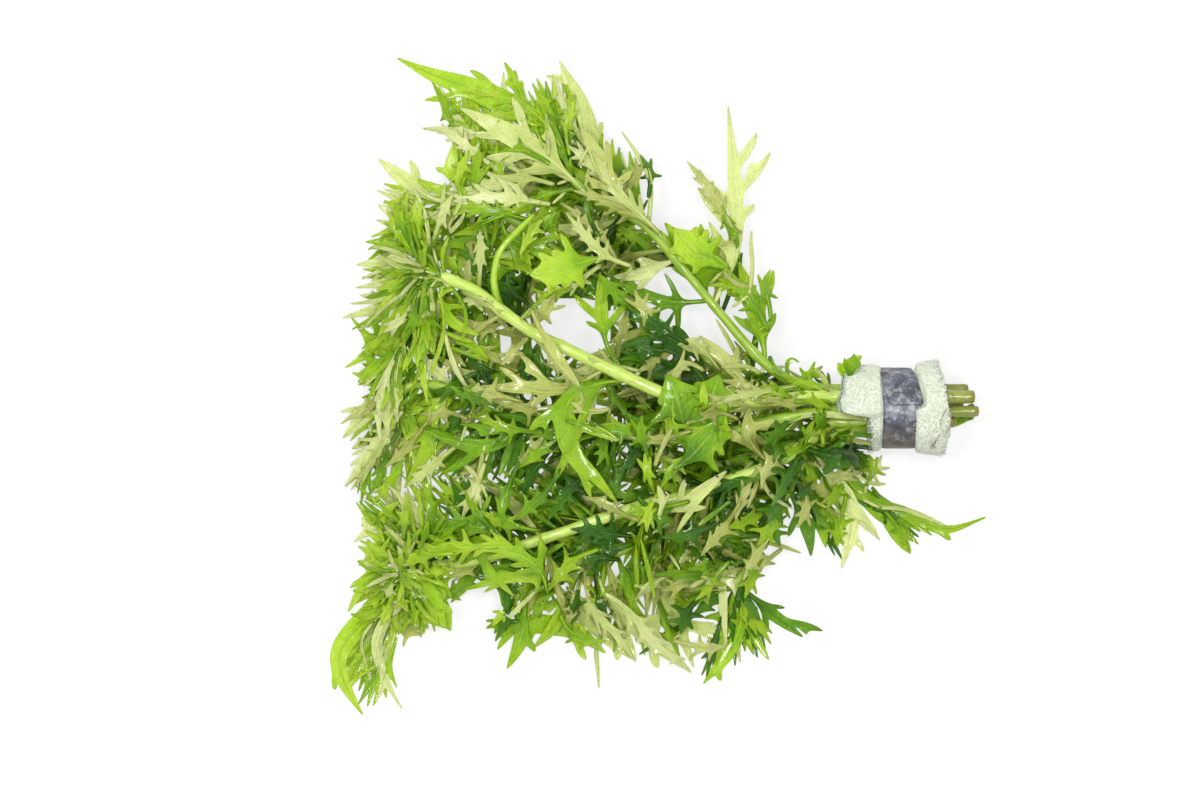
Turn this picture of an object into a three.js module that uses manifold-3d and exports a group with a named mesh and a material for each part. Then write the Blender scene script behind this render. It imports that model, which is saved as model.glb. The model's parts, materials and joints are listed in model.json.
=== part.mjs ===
// A cut bunch of water wisteria, lying down: seven stems held by a foam wrap and a bent lead strip, with
// the larger leaves that grow on them. Millimetres, +Z up, origin under the middle of the bunch.
import * as THREE from 'three';
import { mergeVertices } from 'three/addons/utils/BufferGeometryUtils.js';
import Module from 'manifold-3d';

const wasm = await Module();
wasm.setup();

// Driving dimensions, in millimetres
const PX_PER_MM = 3; // the photograph is 1200 x 800 pixels, and the strip's 33 pixels are taken as 11 mm
const VIEW_CENTRE = [600, 400]; // the pixel above the model's own zero while it is laid out
const GAP = 0.3; // air between pieces that touch
const LEAF_THICKNESS = 0.7;
const PETIOLE_WIDTH = 1.4;
const LEAST_EDGE = 0.4; // between neighbouring corners of a leaf's rim
const LIFT_STEP = 0.35; // how far a leaf gives way at a time where it meets another
const LIFT_REACH = 8;
const MOUND_HEIGHT = 27; // of the pile of leaves over its middle
const MOUND_CENTRE = [590, 385]; // pixels
const MOUND_REACH = [285, 330]; // pixels from its middle to its foot, across and along the photograph

const FOAM = {
  left: 840, right: 950, centreY: 408, // pixels
  bore: 8.2, leftRadius: 14.5, waist: 12.2, rightRadius: 15.7, endRadius: 13, axisHeight: 14.2,
};
const BUNDLE_Y = 404; // pixel row of the bundle's axis
const BUNDLE_PITCH = 4.8; // between neighbouring stems in the foam
const STRIP = {
  left: 883, width: 10.7, inner: 12.5, thickness: 1, // left is a pixel column
  startDeg: -58, endDeg: 355, lapDeg: 50, skew: 2.8,
};

// Stems, from the cut end to the tip. slot is a place in the foam's bundle, as [across, up] in pitches.
// path holds [column, row, height of the axis]: pixels, pixels, mm.
// side says where its small leaves grow: how many nodes with a pair each, over what share of the stem,
// how long the leaves are in mm, and their level in the pile.
const ROW_UP = Math.sqrt(3) / 2;
const STEMS = {
  stem_upper: {
    slot: [1, 0], cutAt: 967, radius: 1.9,
    side: { nodes: 6, from: 0.34, to: 0.98, length: 25, level: 0.45 },
    path: [[812, 388, 15], [788, 380, 16.5], [762, 362, 18], [711, 304, 19], [675, 261, 19.5],
      [645, 228, 19.5], [623, 214, 19], [590, 197, 18], [572, 180, 17]],
  },
  stem_middle: {
    slot: [0.5, ROW_UP], cutAt: 973, radius: 2.25,
    side: { nodes: 7, from: 0.3, to: 0.98, length: 27, level: 0.6 },
    path: [[800, 398, 20.5], [760, 400, 23.5], [700, 400, 26.5], [665, 394, 28], [630, 379, 29],
      [566, 349, 30], [535, 334, 29.5], [503, 312, 28], [477, 292, 26], [442, 277, 23]],
  },
  stem_lower: {
    slot: [-1.2, 0], cutAt: 955, radius: 2.1,
    side: { nodes: 7, from: 0.36, to: 0.98, length: 26, level: 0.35 },
    path: [[806, 442, 16], [768, 466, 16], [733, 478, 15.5], [687, 495, 16],
      [641, 505, 17], [605, 517, 17], [531, 542, 15], [476, 560, 11], [420, 566, 7.5]],
  },
  stem_back: {
    slot: [0, 0], cutAt: 962, radius: 1.9,
    side: { nodes: 6, from: 0.42, to: 0.98, length: 28, level: 0.25 },
    path: [[790, 402, 12.5], [735, 380, 12], [650, 318, 13], [560, 252, 14.5], [500, 214, 14],
      [445, 202, 12]],
  },
  stem_inner: {
    slot: [-0.5, ROW_UP], cutAt: 977, radius: 1.9,
    side: { nodes: 8, from: 0.34, to: 0.98, length: 28, level: 0.3 },
    path: [[800, 414, 20.5], [760, 424, 21], [700, 438, 21], [600, 430, 20], [500, 402, 17],
      [420, 384, 13], [392, 396, 11]],
  },
  stem_low_left: {
    slot: [0.5, -ROW_UP], cutAt: 958, radius: 1.9,
    side: { nodes: 6, from: 0.42, to: 0.97, length: 24, level: 0.1 },
    path: [[806, 412, 8.5], [772, 442, 7.5], [736, 476, 7], [640, 540, 7], [560, 580, 6],
      [512, 598, 5]],
  },
  stem_low_right: {
    slot: [-0.5, -ROW_UP], cutAt: 952, radius: 1.9,
    side: { nodes: 4, from: 0.5, to: 0.95, length: 20, level: 0.05 },
    path: [[815, 436, 8.5], [793, 478, 7], [762, 540, 5.5], [734, 588, 4]],
  },
};

// Leaves, from the bottom of the pile to the top, with each stem named where it lies among them. A leaf has
// its stem, its spine from stem to tip, the greatest width of its blade, the tips of its lobes as
// [column, row, width], and level, its height in the pile from 0 at the foot to 1 at the top.
const PILE = [
  { name: 'leaf_right_far', on: 'stem_lower', level: 0, tint: 'green', width: 15,
    spine: [[828, 434], [842, 470], [868, 502], [905, 513], [945, 530], [986, 517]],
    lobes: [[911, 554, 12], [886, 524, 6], [951, 540, 7]] },
  { name: 'leaf_right_pale', on: 'stem_low_right', level: 0, tint: 'pale', width: 19,
    spine: [[812, 446], [832, 478], [850, 505], [850, 535], [841, 569]],
    lobes: [[878, 538, 8], [864, 552, 7], [830, 540, 6]] },
  { name: 'leaf_right_bright', on: 'stem_low_right', level: 0.02, tint: 'bright', width: 17,
    spine: [[797, 472], [808, 488], [818, 510], [826, 548]],
    lobes: [[796, 512, 7], [838, 524, 6]] },
  { name: 'leaf_foot_right', on: 'stem_low_right', level: 0, tint: 'dark', width: 13,
    spine: [[737, 585], [752, 596], [775, 616], [803, 637]],
    lobes: [[823, 631, 8], [768, 632, 7], [785, 608, 5]] },
  { name: 'leaf_foot_spread', on: 'stem_low_right', level: 0, tint: 'bright', width: 16,
    spine: [[736, 592], [742, 612], [733, 645], [703, 684]],
    lobes: [[703, 618, 9], [769, 660, 9], [720, 681, 7]] },
  { name: 'leaf_foot_grey', on: 'stem_low_left', level: 0, tint: 'pale', width: 18,
    spine: [[640, 545], [662, 588], [680, 630], [694, 668]],
    lobes: [[728, 645, 12], [656, 640, 9], [707, 602, 9]] },
  { name: 'leaf_foot_wide', on: 'stem_low_left', level: 0.1, tint: 'pale', width: 22,
    spine: [[590, 568], [604, 592], [640, 628], [692, 673]],
    lobes: [[676, 622, 14], [658, 668, 11], [636, 662, 11], [648, 594, 10]] },
  { name: 'leaf_foot_slim', on: 'stem_low_left', level: 0, tint: 'pale', width: 18,
    spine: [[556, 584], [576, 604], [604, 634], [635, 660]],
    lobes: [[618, 660, 8], [585, 630, 6]] },
  { name: 'leaf_foot_bright', on: 'stem_low_left', level: 0, tint: 'bright', width: 22,
    spine: [[517, 598], [512, 612], [538, 623], [570, 628], [606, 653]],
    lobes: [[497, 650, 9], [586, 660, 9], [530, 642, 7]] },
  { name: 'leaf_corner_end', on: 'stem_lower', level: 0, tint: 'bright', width: 22,
    spine: [[412, 572], [386, 597], [356, 628], [338, 655], [345, 685], [363, 715]],
    lobes: [[335, 690, 7], [352, 650, 5]] },
  { name: 'leaf_corner_pale', on: 'stem_lower', level: 0, tint: 'pale', width: 12,
    spine: [[415, 576], [394, 606], [376, 645], [386, 680], [402, 709]],
    lobes: [[379, 697, 7], [422, 626, 9]] },
  { name: 'leaf_corner_left', on: 'stem_lower', level: 0.03, tint: 'bright', width: 13,
    spine: [[410, 566], [385, 572], [366, 583], [348, 612]],
    lobes: [[350, 588, 7], [357, 561, 7], [382, 604, 6]] },
  { name: 'leaf_side_slim', on: 'stem_lower', level: 0.1, tint: 'pale', width: 14,
    spine: [[418, 556], [400, 538], [376, 528], [354, 542]],
    lobes: [[362, 517, 8], [381, 547, 6], [398, 500, 8]] },
  'stem_low_right',
  'stem_low_left',
  { name: 'leaf_corner_point', on: 'stem_lower', level: 0.35, tint: 'bright', width: 24,
    spine: [[420, 572], [428, 590], [440, 608], [451, 631]],
    lobes: [[424, 634, 10], [462, 600, 7]] },
  { name: 'leaf_low_hanging', on: 'stem_low_left', level: 0.5, tint: 'dark', width: 24,
    spine: [[640, 542], [618, 548], [594, 546], [560, 528]],
    lobes: [[585, 577, 11], [580, 515, 11], [612, 520, 9], [562, 556, 9]] },
  { name: 'leaf_low_streak', on: 'stem_low_right', level: 0.35, tint: 'pale', width: 13,
    spine: [[762, 540], [735, 540], [720, 560], [722, 600], [726, 644]],
    lobes: [[708, 600, 6], [737, 612, 6]] },
  { name: 'leaf_side_feather', on: 'stem_inner', level: 0.45, tint: 'olive', width: 16,
    spine: [[398, 396], [390, 426], [370, 458], [345, 487]],
    lobes: [[352, 449, 8], [392, 466, 8], [381, 492, 8]] },
  { name: 'leaf_side_pale', on: 'stem_inner', level: 0.45, tint: 'pale', width: 13,
    spine: [[392, 392], [372, 402], [360, 420], [343, 438]],
    lobes: [[341, 412, 6], [372, 436, 6]] },
  { name: 'leaf_side_drop', on: 'stem_inner', level: 0.7, tint: 'green', width: 16,
    spine: [[425, 386], [436, 412], [428, 448], [405, 488]],
    lobes: [[409, 446, 8], [452, 440, 9], [434, 478, 7]] },
  { name: 'leaf_top_left', on: 'stem_back', level: 0.5, tint: 'bright', width: 15,
    spine: [[470, 206], [462, 190], [452, 170], [456, 141]],
    lobes: [[436, 168, 7], [476, 162, 8]] },
  { name: 'leaf_top_fork', on: 'stem_back', level: 0.15, tint: 'pale', width: 17,
    spine: [[452, 202], [431, 199], [405, 180], [378, 159]],
    lobes: [[410, 160, 9], [392, 194, 7]] },
  { name: 'leaf_top_grey', on: 'stem_back', level: 0.2, tint: 'pale', width: 19,
    spine: [[448, 210], [430, 218], [408, 219], [378, 205]],
    lobes: [[376, 190, 7], [386, 224, 7]] },
  { name: 'leaf_edge_high', on: 'stem_back', level: 0.2, tint: 'bright', width: 15,
    spine: [[450, 214], [432, 232], [405, 240], [365, 242]],
    lobes: [[390, 226, 6], [386, 255, 6]] },
  { name: 'leaf_edge_low', on: 'stem_middle', level: 0.35, tint: 'pale', width: 14,
    spine: [[444, 277], [420, 268], [395, 262], [356, 265]],
    lobes: [[382, 252, 6], [372, 282, 8]] },
  { name: 'leaf_edge_reach', on: 'stem_middle', level: 0.3, tint: 'pale', width: 14,
    spine: [[448, 284], [424, 296], [390, 306], [342, 318]],
    lobes: [[360, 295, 7], [372, 325, 7], [398, 288, 7]] },
  { name: 'leaf_edge_bright', on: 'stem_middle', level: 0.45, tint: 'bright', width: 15,
    spine: [[452, 288], [430, 312], [400, 336], [345, 368]],
    lobes: [[366, 340, 8], [377, 368, 8], [410, 350, 7]] },
  'stem_back',
  { name: 'leaf_crown_pale', on: 'stem_upper', level: 0.3, tint: 'pale', width: 16,
    spine: [[574, 184], [540, 165], [500, 140], [421, 128]],
    lobes: [[450, 112, 8], [462, 150, 8]] },
  { name: 'leaf_crown_long', on: 'stem_upper', level: 0.35, tint: 'bright', width: 26,
    spine: [[572, 178], [558, 144], [520, 112], [470, 88], [430, 74], [397, 58]],
    lobes: [[504, 62, 9], [470, 70, 8], [424, 100, 8], [448, 118, 9], [541, 95, 9]] },
  { name: 'leaf_crown_tip', on: 'stem_upper', level: 0.4, tint: 'green', width: 18,
    spine: [[586, 190], [592, 150], [584, 112], [559, 60]],
    lobes: [[546, 76, 8], [602, 122, 7]] },
  { name: 'leaf_high_green', on: 'stem_upper', level: 0.5, tint: 'bright', width: 25,
    spine: [[716, 308], [700, 288], [690, 256], [664, 223]],
    lobes: [[720, 240, 12], [700, 224, 11], [724, 268, 11], [668, 262, 8]] },
  { name: 'leaf_high_ladder', on: 'stem_upper', level: 0.6, tint: 'pale', width: 15,
    spine: [[715, 306], [728, 272], [736, 235], [734, 180], [728, 106]],
    lobes: [[757, 133, 10], [771, 152, 9], [686, 161, 9], [697, 188, 9], [754, 205, 9], [708, 222, 9]] },
  { name: 'leaf_inner_long', on: 'stem_upper', level: 0.6, tint: 'green', width: 13,
    spine: [[708, 303], [672, 303], [640, 294], [600, 270]],
    lobes: [[664, 274, 6], [676, 336, 7], [636, 318, 7], [622, 262, 6]] },
  'stem_upper',
  { name: 'leaf_high_broad', on: 'stem_upper', level: 0.6, tint: 'bright', width: 20,
    spine: [[765, 362], [760, 330], [750, 298], [738, 262]],
    lobes: [[773, 270, 11], [775, 313, 9], [724, 282, 11], [732, 316, 8]] },
  { name: 'leaf_crown_wide', on: 'stem_upper', level: 0.75, tint: 'pale', width: 24,
    spine: [[582, 190], [552, 162], [512, 136], [460, 108]],
    lobes: [[512, 97, 11], [486, 158, 11], [474, 134, 9], [545, 120, 9], [518, 172, 9]] },
  { name: 'leaf_brow_olive', on: 'stem_upper', level: 1.5, tint: 'olive', width: 17,
    spine: [[625, 212], [612, 188], [598, 158], [580, 128]],
    lobes: [[606, 142, 8], [632, 172, 9], [584, 178, 7]] },
  { name: 'leaf_inner_dark', on: 'stem_middle', level: 0.62, tint: 'dark', width: 34,
    spine: [[712, 396], [694, 368], [662, 350], [612, 348]],
    lobes: [[640, 322, 14], [672, 326, 12], [636, 374, 12], [666, 380, 12]] },
  { name: 'leaf_inner_arch', on: 'stem_back', level: 0.85, tint: 'green', width: 15,
    spine: [[503, 216], [506, 238], [530, 246], [560, 262], [601, 264]],
    lobes: [[556, 212, 8], [540, 284, 9], [584, 286, 9], [572, 238, 7]] },
  { name: 'leaf_inner_upright', on: 'stem_middle', level: 0.95, tint: 'green', width: 18,
    spine: [[628, 380], [606, 345], [602, 312], [600, 272]],
    lobes: [[574, 295, 9], [628, 300, 9], [586, 322, 6]] },
  { name: 'leaf_inner_cream', on: 'stem_middle', level: 0.9, tint: 'olive', width: 15,
    spine: [[758, 398], [734, 372], [716, 352], [698, 336]],
    lobes: [[678, 345, 9], [736, 346, 7]] },
  'stem_inner',
  'stem_lower',
  { name: 'leaf_inner_comb', on: 'stem_lower', level: 1.05, tint: 'pale', width: 14,
    spine: [[655, 503], [668, 512], [695, 495], [726, 470]],
    lobes: [[684, 478, 7], [706, 506, 7], [676, 532, 7]] },
  { name: 'leaf_inner_star', on: 'stem_lower', level: 2.6, tint: 'dark', width: 22,
    spine: [[800, 442], [812, 452], [834, 456], [864, 466]],
    lobes: [[822, 474, 10], [846, 440, 7]] },
  { name: 'leaf_low_long', on: 'stem_lower', level: 0.9, tint: 'bright', width: 15,
    spine: [[420, 566], [448, 545], [486, 545], [519, 555], [541, 572], [535, 594]],
    lobes: [[463, 590, 9], [484, 592, 9], [515, 596, 9], [470, 526, 7], [500, 532, 7]] },
  { name: 'leaf_low_fan', on: 'stem_lower', level: 0.85, tint: 'green', width: 14,
    spine: [[508, 548], [490, 530], [465, 524], [429, 533]],
    lobes: [[476, 495, 9], [492, 494, 8], [450, 505, 7], [455, 541, 6]] },
  { name: 'leaf_mid_bone', on: 'stem_middle', level: 0.95, tint: 'olive', width: 14,
    spine: [[606, 366], [568, 388], [530, 388], [477, 387]],
    lobes: [[519, 353, 8], [500, 367, 8], [530, 407, 8], [545, 364, 7], [560, 412, 8]] },
  { name: 'leaf_mid_great', on: 'stem_middle', level: 1.05, tint: 'green', width: 22,
    spine: [[632, 380], [596, 384], [566, 404], [572, 452], [597, 478], [618, 503]],
    lobes: [[619, 441, 12], [530, 430, 12], [549, 490, 11], [592, 497, 7]] },
  { name: 'leaf_mid_left', on: 'stem_inner', level: 0.98, tint: 'green', width: 15,
    spine: [[520, 408], [510, 438], [478, 446], [425, 430]],
    lobes: [[444, 473, 9], [500, 476, 9], [460, 424, 7]] },
  'stem_middle',
  { name: 'leaf_inner_antler', on: 'stem_lower', level: 0.9, tint: 'olive', width: 14,
    spine: [[768, 466], [752, 446], [745, 430], [748, 407]],
    lobes: [[774, 419, 8], [726, 428, 8], [778, 446, 7]] },
  { name: 'leaf_mid_glossy', on: 'stem_inner', level: 1, tint: 'bright', width: 20,
    spine: [[700, 438], [704, 425], [714, 412], [726, 398]],
    lobes: [[702, 382, 10], [729, 430, 10], [718, 456, 9], [672, 424, 9], [676, 388, 9]] },
  { name: 'leaf_tip_fold', on: 'stem_middle', level: 1, tint: 'bright', width: 13,
    spine: [[448, 279], [440, 300], [452, 322], [481, 336]],
    lobes: [[430, 326, 7], [466, 308, 6]] },
  { name: 'leaf_tip_long', on: 'stem_middle', level: 0.95, tint: 'bright', width: 13,
    spine: [[441, 277], [424, 300], [420, 345], [429, 404]],
    lobes: [[404, 372, 8], [398, 330, 7], [436, 356, 7]] },
];

// Gaps in the pile through which the surface below shows, as [left, top, right, bottom] in pixels
const WINDOWS = [
  [540, 300, 602, 352], [655, 268, 694, 304], [640, 304, 745, 350], [498, 336, 514, 356],
  [600, 560, 634, 598], [470, 590, 500, 622], [640, 180, 700, 222], [760, 250, 860, 372],
];

const TINTS = {
  bright: 0x9ed02c, green: 0x6fae2a, dark: 0x2f6b22, pale: 0xc6d88a, olive: 0xb9bd78,
};

// A place in the photograph, as millimetres in the plane of the surface that the bunch lies on
const place = ([column, row]) => new THREE.Vector2(
  (column - VIEW_CENTRE[0]) / PX_PER_MM,
  (VIEW_CENTRE[1] - row) / PX_PER_MM,
);
const span = (pixels) => pixels / PX_PER_MM;

function moundHeight(point) {
  const centre = place(MOUND_CENTRE);
  const across = (point.x - centre.x) / span(MOUND_REACH[0]);
  const along = (point.y - centre.y) / span(MOUND_REACH[1]);
  return MOUND_HEIGHT * Math.max(0, 1 - across ** 2 - along ** 2);
}

const ease = (value) => THREE.MathUtils.smoothstep(value, 0, 1);

// Solids for joins, cuts and clash tests
function toSolid(geometry) {
  const bare = geometry.clone();
  bare.deleteAttribute('normal');
  bare.deleteAttribute('uv');
  const merged = mergeVertices(bare, 1e-5);
  return new wasm.Manifold(new wasm.Mesh({
    numProp: 3,
    vertProperties: new Float32Array(merged.attributes.position.array),
    triVerts: new Uint32Array(merged.index.array),
  }));
}

function fromSolid(solid) {
  const { vertProperties, triVerts } = solid.getMesh();
  const geometry = new THREE.BufferGeometry();
  geometry.setAttribute('position', new THREE.BufferAttribute(vertProperties, 3));
  geometry.setIndex(new THREE.BufferAttribute(triVerts, 1));
  return geometry;
}

// Foam wrap: a ring round the bundle that swells on both sides of the strip, flat where it rests
function foamGeometry() {
  const { bore, leftRadius, waist, rightRadius, endRadius, axisHeight } = FOAM;
  const length = span(FOAM.right - FOAM.left);
  const waistStart = span(STRIP.left - FOAM.left) - GAP;
  const waistEnd = waistStart + STRIP.width + 2 * GAP;
  const profile = [
    [bore, 0], [endRadius, 0], [leftRadius, 3], [leftRadius, waistStart - 1.5], [waist, waistStart],
    [waist, waistEnd], [rightRadius - 0.4, waistEnd + 1.2], [rightRadius, waistEnd + 5],
    [rightRadius - 0.8, length - 2.5], [endRadius, length], [bore, length], [bore, 0],
  ].map(([radius, along]) => new THREE.Vector2(radius, along));
  const ring = new THREE.LatheGeometry(profile, 20);
  ring.rotateZ(-Math.PI / 2);
  const start = place([FOAM.left, FOAM.centreY]);
  ring.translate(start.x, start.y, axisHeight);
  const ground = new THREE.BoxGeometry(100, 100, 20);
  ground.translate(start.x, start.y, -10);
  return fromSolid(toSolid(ring).subtract(toSolid(ground)));
}

// The bore follows the bundle, which sits a little off the foam's own axis
function boredFoam() {
  const offset = span(FOAM.centreY - BUNDLE_Y);
  const foam = toSolid(foamGeometry());
  const plug = new THREE.CylinderGeometry(FOAM.bore, FOAM.bore, 100, 16);
  plug.rotateZ(Math.PI / 2);
  const middle = place([FOAM.left, BUNDLE_Y]);
  plug.translate(middle.x, middle.y, FOAM.axisHeight);
  const fill = new THREE.CylinderGeometry(FOAM.bore + offset, FOAM.bore + offset, 30, 16);
  fill.rotateZ(Math.PI / 2);
  fill.translate(middle.x + 18, middle.y - offset, FOAM.axisHeight);
  return fromSolid(foam.add(toSolid(fill)).subtract(toSolid(plug)).subtract(toSolid(lapRoom())));
}

// A section in the y-z plane round the foam's axis, from crown angles in degrees, swept along x
const crownPoint = (degrees, radius) => {
  const angle = THREE.MathUtils.degToRad(degrees);
  return new THREE.Vector2(-radius * Math.sin(angle), radius * Math.cos(angle));
};
function sweepAlongX(outline, column, width) {
  const swept = new THREE.ExtrudeGeometry(new THREE.Shape(outline), {
    depth: width, bevelEnabled: false, steps: 1,
  });
  swept.applyMatrix4(new THREE.Matrix4().makeBasis(
    new THREE.Vector3(0, 1, 0), new THREE.Vector3(0, 0, 1), new THREE.Vector3(1, 0, 0),
  ));
  const start = place([column, FOAM.centreY]);
  return swept.translate(start.x, start.y, FOAM.axisHeight);
}
const anglesBetween = (first, last, steps) => (
  Array.from({ length: steps + 1 }, (_, i) => first + ((last - first) * i) / steps));

// The lapped end presses the foam's swollen rim down, so the foam is cut back below it
function lapRoom() {
  const low = STRIP.inner + STRIP.thickness - GAP;
  const angles = anglesBetween(STRIP.endDeg - 360 - STRIP.lapDeg - 20, STRIP.endDeg - 360 + 2, 8);
  const outline = [
    ...angles.map((degrees) => crownPoint(degrees, low)),
    ...angles.toReversed().map((degrees) => crownPoint(degrees, low + 6)),
  ];
  return sweepAlongX(outline, STRIP.left, STRIP.width + STRIP.skew + GAP);
}

// Lead strip: once round the foam's waist and lapped over its own start, the lapped end lying askew
function stripGeometry() {
  const { inner, thickness, startDeg, endDeg, lapDeg, skew } = STRIP;
  const innerRadius = (degrees) => (
    inner + ease((degrees - (endDeg - lapDeg - 45)) / 30) * (thickness + GAP));
  const angles = anglesBetween(startDeg, endDeg, 30);
  const band = sweepAlongX([
    ...angles.map((degrees) => crownPoint(degrees, innerRadius(degrees) + thickness)),
    ...angles.toReversed().map((degrees) => crownPoint(degrees, innerRadius(degrees))),
  ], STRIP.left, STRIP.width);
  const at = band.attributes.position;
  const axisY = place([0, FOAM.centreY]).y;
  const lapRadius = inner + thickness + GAP / 2;
  for (let i = 0; i < at.count; i += 1) {
    const y = at.getY(i) - axisY;
    const z = at.getZ(i) - FOAM.axisHeight;
    const beforeCrown = Math.atan2(y, z) / THREE.MathUtils.degToRad(lapDeg);
    if (Math.hypot(y, z) > lapRadius && beforeCrown > 0) {
      at.setX(i, at.getX(i) + skew * ease(1 - beforeCrown));
    }
  }
  return band;
}

// Stems: a round rod along each path, straight through the foam
function stemCurve({ slot, cutAt, path }) {
  const across = span(VIEW_CENTRE[1] - BUNDLE_Y) + slot[0] * BUNDLE_PITCH;
  const up = FOAM.axisHeight + slot[1] * BUNDLE_PITCH;
  const through = [cutAt, FOAM.right, FOAM.left, FOAM.left - 8].map((column) => (
    new THREE.Vector3(place([column, 0]).x, across, up)));
  const free = path.map(([column, row, height]) => {
    const at = place([column, row]);
    return new THREE.Vector3(at.x, at.y, height);
  });
  return new THREE.CatmullRomCurve3([...through, ...free], false, 'centripetal');
}

function stemGeometry(stem, curve) {
  const sides = 6;
  const section = new THREE.Shape(Array.from({ length: sides }, (_, i) => {
    const angle = (2 * Math.PI * i) / sides;
    return new THREE.Vector2(stem.radius * Math.cos(angle), stem.radius * Math.sin(angle));
  }));
  const steps = Math.round(curve.getLength() / 13);
  return new THREE.ExtrudeGeometry(section, { steps, extrudePath: curve, bevelEnabled: false });
}

// Leaf outlines. A limb is a spine with a half width along it, and lobes are limbs that leave its edge.
const bladeHalf = (width, petioleShare) => (t) => {
  const u = Math.max(0, (t - petioleShare) / (1 - petioleShare));
  return Math.max((PETIOLE_WIDTH / 2) * (1 - u), (width / 2) * Math.sin(Math.PI * u ** 0.8));
};
const lobeHalf = (width) => (t) => (width / 2) * (1 - t ** 2) * (0.8 + 0.6 * t);

function edgePoint(limb, t, side) {
  const along = limb.spine.getTangentAt(t);
  const outward = new THREE.Vector2(-along.y, along.x).multiplyScalar(side * limb.half(t));
  return limb.spine.getPointAt(t).add(outward);
}

// A lobe leaves the spine where its tip lies about LOBE_ANGLE ahead
const LOBE_ANGLE = THREE.MathUtils.degToRad(48);
function lobeLimb(parent, [column, row, width], first) {
  const tip = place([column, row]);
  const steps = 40;
  let best = null;
  for (let i = 0; i <= steps; i += 1) {
    const t = first + ((0.93 - first) * i) / steps;
    const root = parent.spine.getPointAt(t);
    const along = parent.spine.getTangentAt(t);
    const way = tip.clone().sub(root);
    const miss = Math.abs(Math.acos(THREE.MathUtils.clamp(along.dot(way) / way.length(), -1, 1)) - LOBE_ANGLE);
    if (!best || miss < best.miss) best = { root, along, way, miss };
  }
  const { root, along, way } = best;
  const length = way.length();
  const bend = root.clone().addScaledVector(way, 0.5).addScaledVector(along, -0.06 * length);
  return {
    spine: new THREE.SplineCurve([root, bend, tip]),
    half: lobeHalf(span(width)),
  };
}

function limbPrism(limb, marks, root = []) {
  const outline = [
    ...root,
    ...marks.map((t) => edgePoint(limb, t, 1)),
    limb.spine.getPointAt(1),
    ...marks.toReversed().map((t) => edgePoint(limb, t, -1)),
  ];
  return toSolid(new THREE.ExtrudeGeometry(new THREE.Shape(outline), {
    depth: LEAF_THICKNESS, bevelEnabled: false, steps: 1,
  }));
}

// The outer rim of a flat sheet: the edges of its upward faces that no other upward face shares, walked
// round as one loop, less the corners that lie too close to the one before or on a straight edge
function rimOf(sheet) {
  const { vertProperties, triVerts } = sheet.getMesh();
  const corner = (v) => new THREE.Vector2(vertProperties[3 * v], vertProperties[3 * v + 1]);
  const onTop = (v) => vertProperties[3 * v + 2] > LEAF_THICKNESS / 2;
  const edges = new Map();
  for (let i = 0; i < triVerts.length; i += 3) {
    const face = [triVerts[i], triVerts[i + 1], triVerts[i + 2]];
    if (face.every(onTop)) {
      face.forEach((from, k) => edges.set(`${from} ${face[(k + 1) % 3]}`, [from, face[(k + 1) % 3]]));
    }
  }
  const next = new Map([...edges.values()].filter(([from, to]) => !edges.has(`${to} ${from}`)));
  let longest = [];
  while (next.size) {
    const loop = [];
    let at = next.keys().next().value;
    while (next.has(at)) {
      loop.push(corner(at));
      const following = next.get(at);
      next.delete(at);
      at = following;
    }
    if (loop.length > longest.length) longest = loop;
  }
  const spaced = longest.filter((point, i) => i === 0 || point.distanceTo(longest[i - 1]) > LEAST_EDGE);
  return spaced.filter((point, i) => {
    const before = spaced[(i + spaced.length - 1) % spaced.length];
    const along = spaced[(i + 1) % spaced.length].clone().sub(before);
    return Math.abs(along.cross(point.clone().sub(before))) / along.length() > LEAST_EDGE / 8;
  });
}

// The blade and its lobes joined in one flat sheet, with the places of its corners and which corner and
// face each vertex belongs to
function flatLeaf(limb, lobes, petioleShare, bladeMarks) {
  const blade = bladeMarks.map((u) => petioleShare + u * (1 - petioleShare));
  const whole = lobes.reduce(
    (sheet, lobe) => sheet.add(limbPrism(lobe, [0.4], [lobe.spine.getPointAt(0)])),
    limbPrism(limb, [0, ...blade]),
  );
  const corners = rimOf(whole);
  const geometry = fromSolid(toSolid(new THREE.ExtrudeGeometry(new THREE.Shape(corners), {
    depth: LEAF_THICKNESS, bevelEnabled: false, steps: 1,
  })));
  const at = geometry.attributes.position;
  const vertices = Array.from({ length: at.count }, (_, i) => ({
    corner: corners.findIndex(({ x, y }) => Math.hypot(x - at.getX(i), y - at.getY(i)) < 1e-3),
    onTop: at.getZ(i) > LEAF_THICKNESS / 2,
  }));
  return { geometry, corners, vertices };
}

// The top of the pile so far, on a grid of millimetre cells
const GRID = { low: -130, size: 280 };
const pileTop = new Float32Array(GRID.size ** 2);

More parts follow.
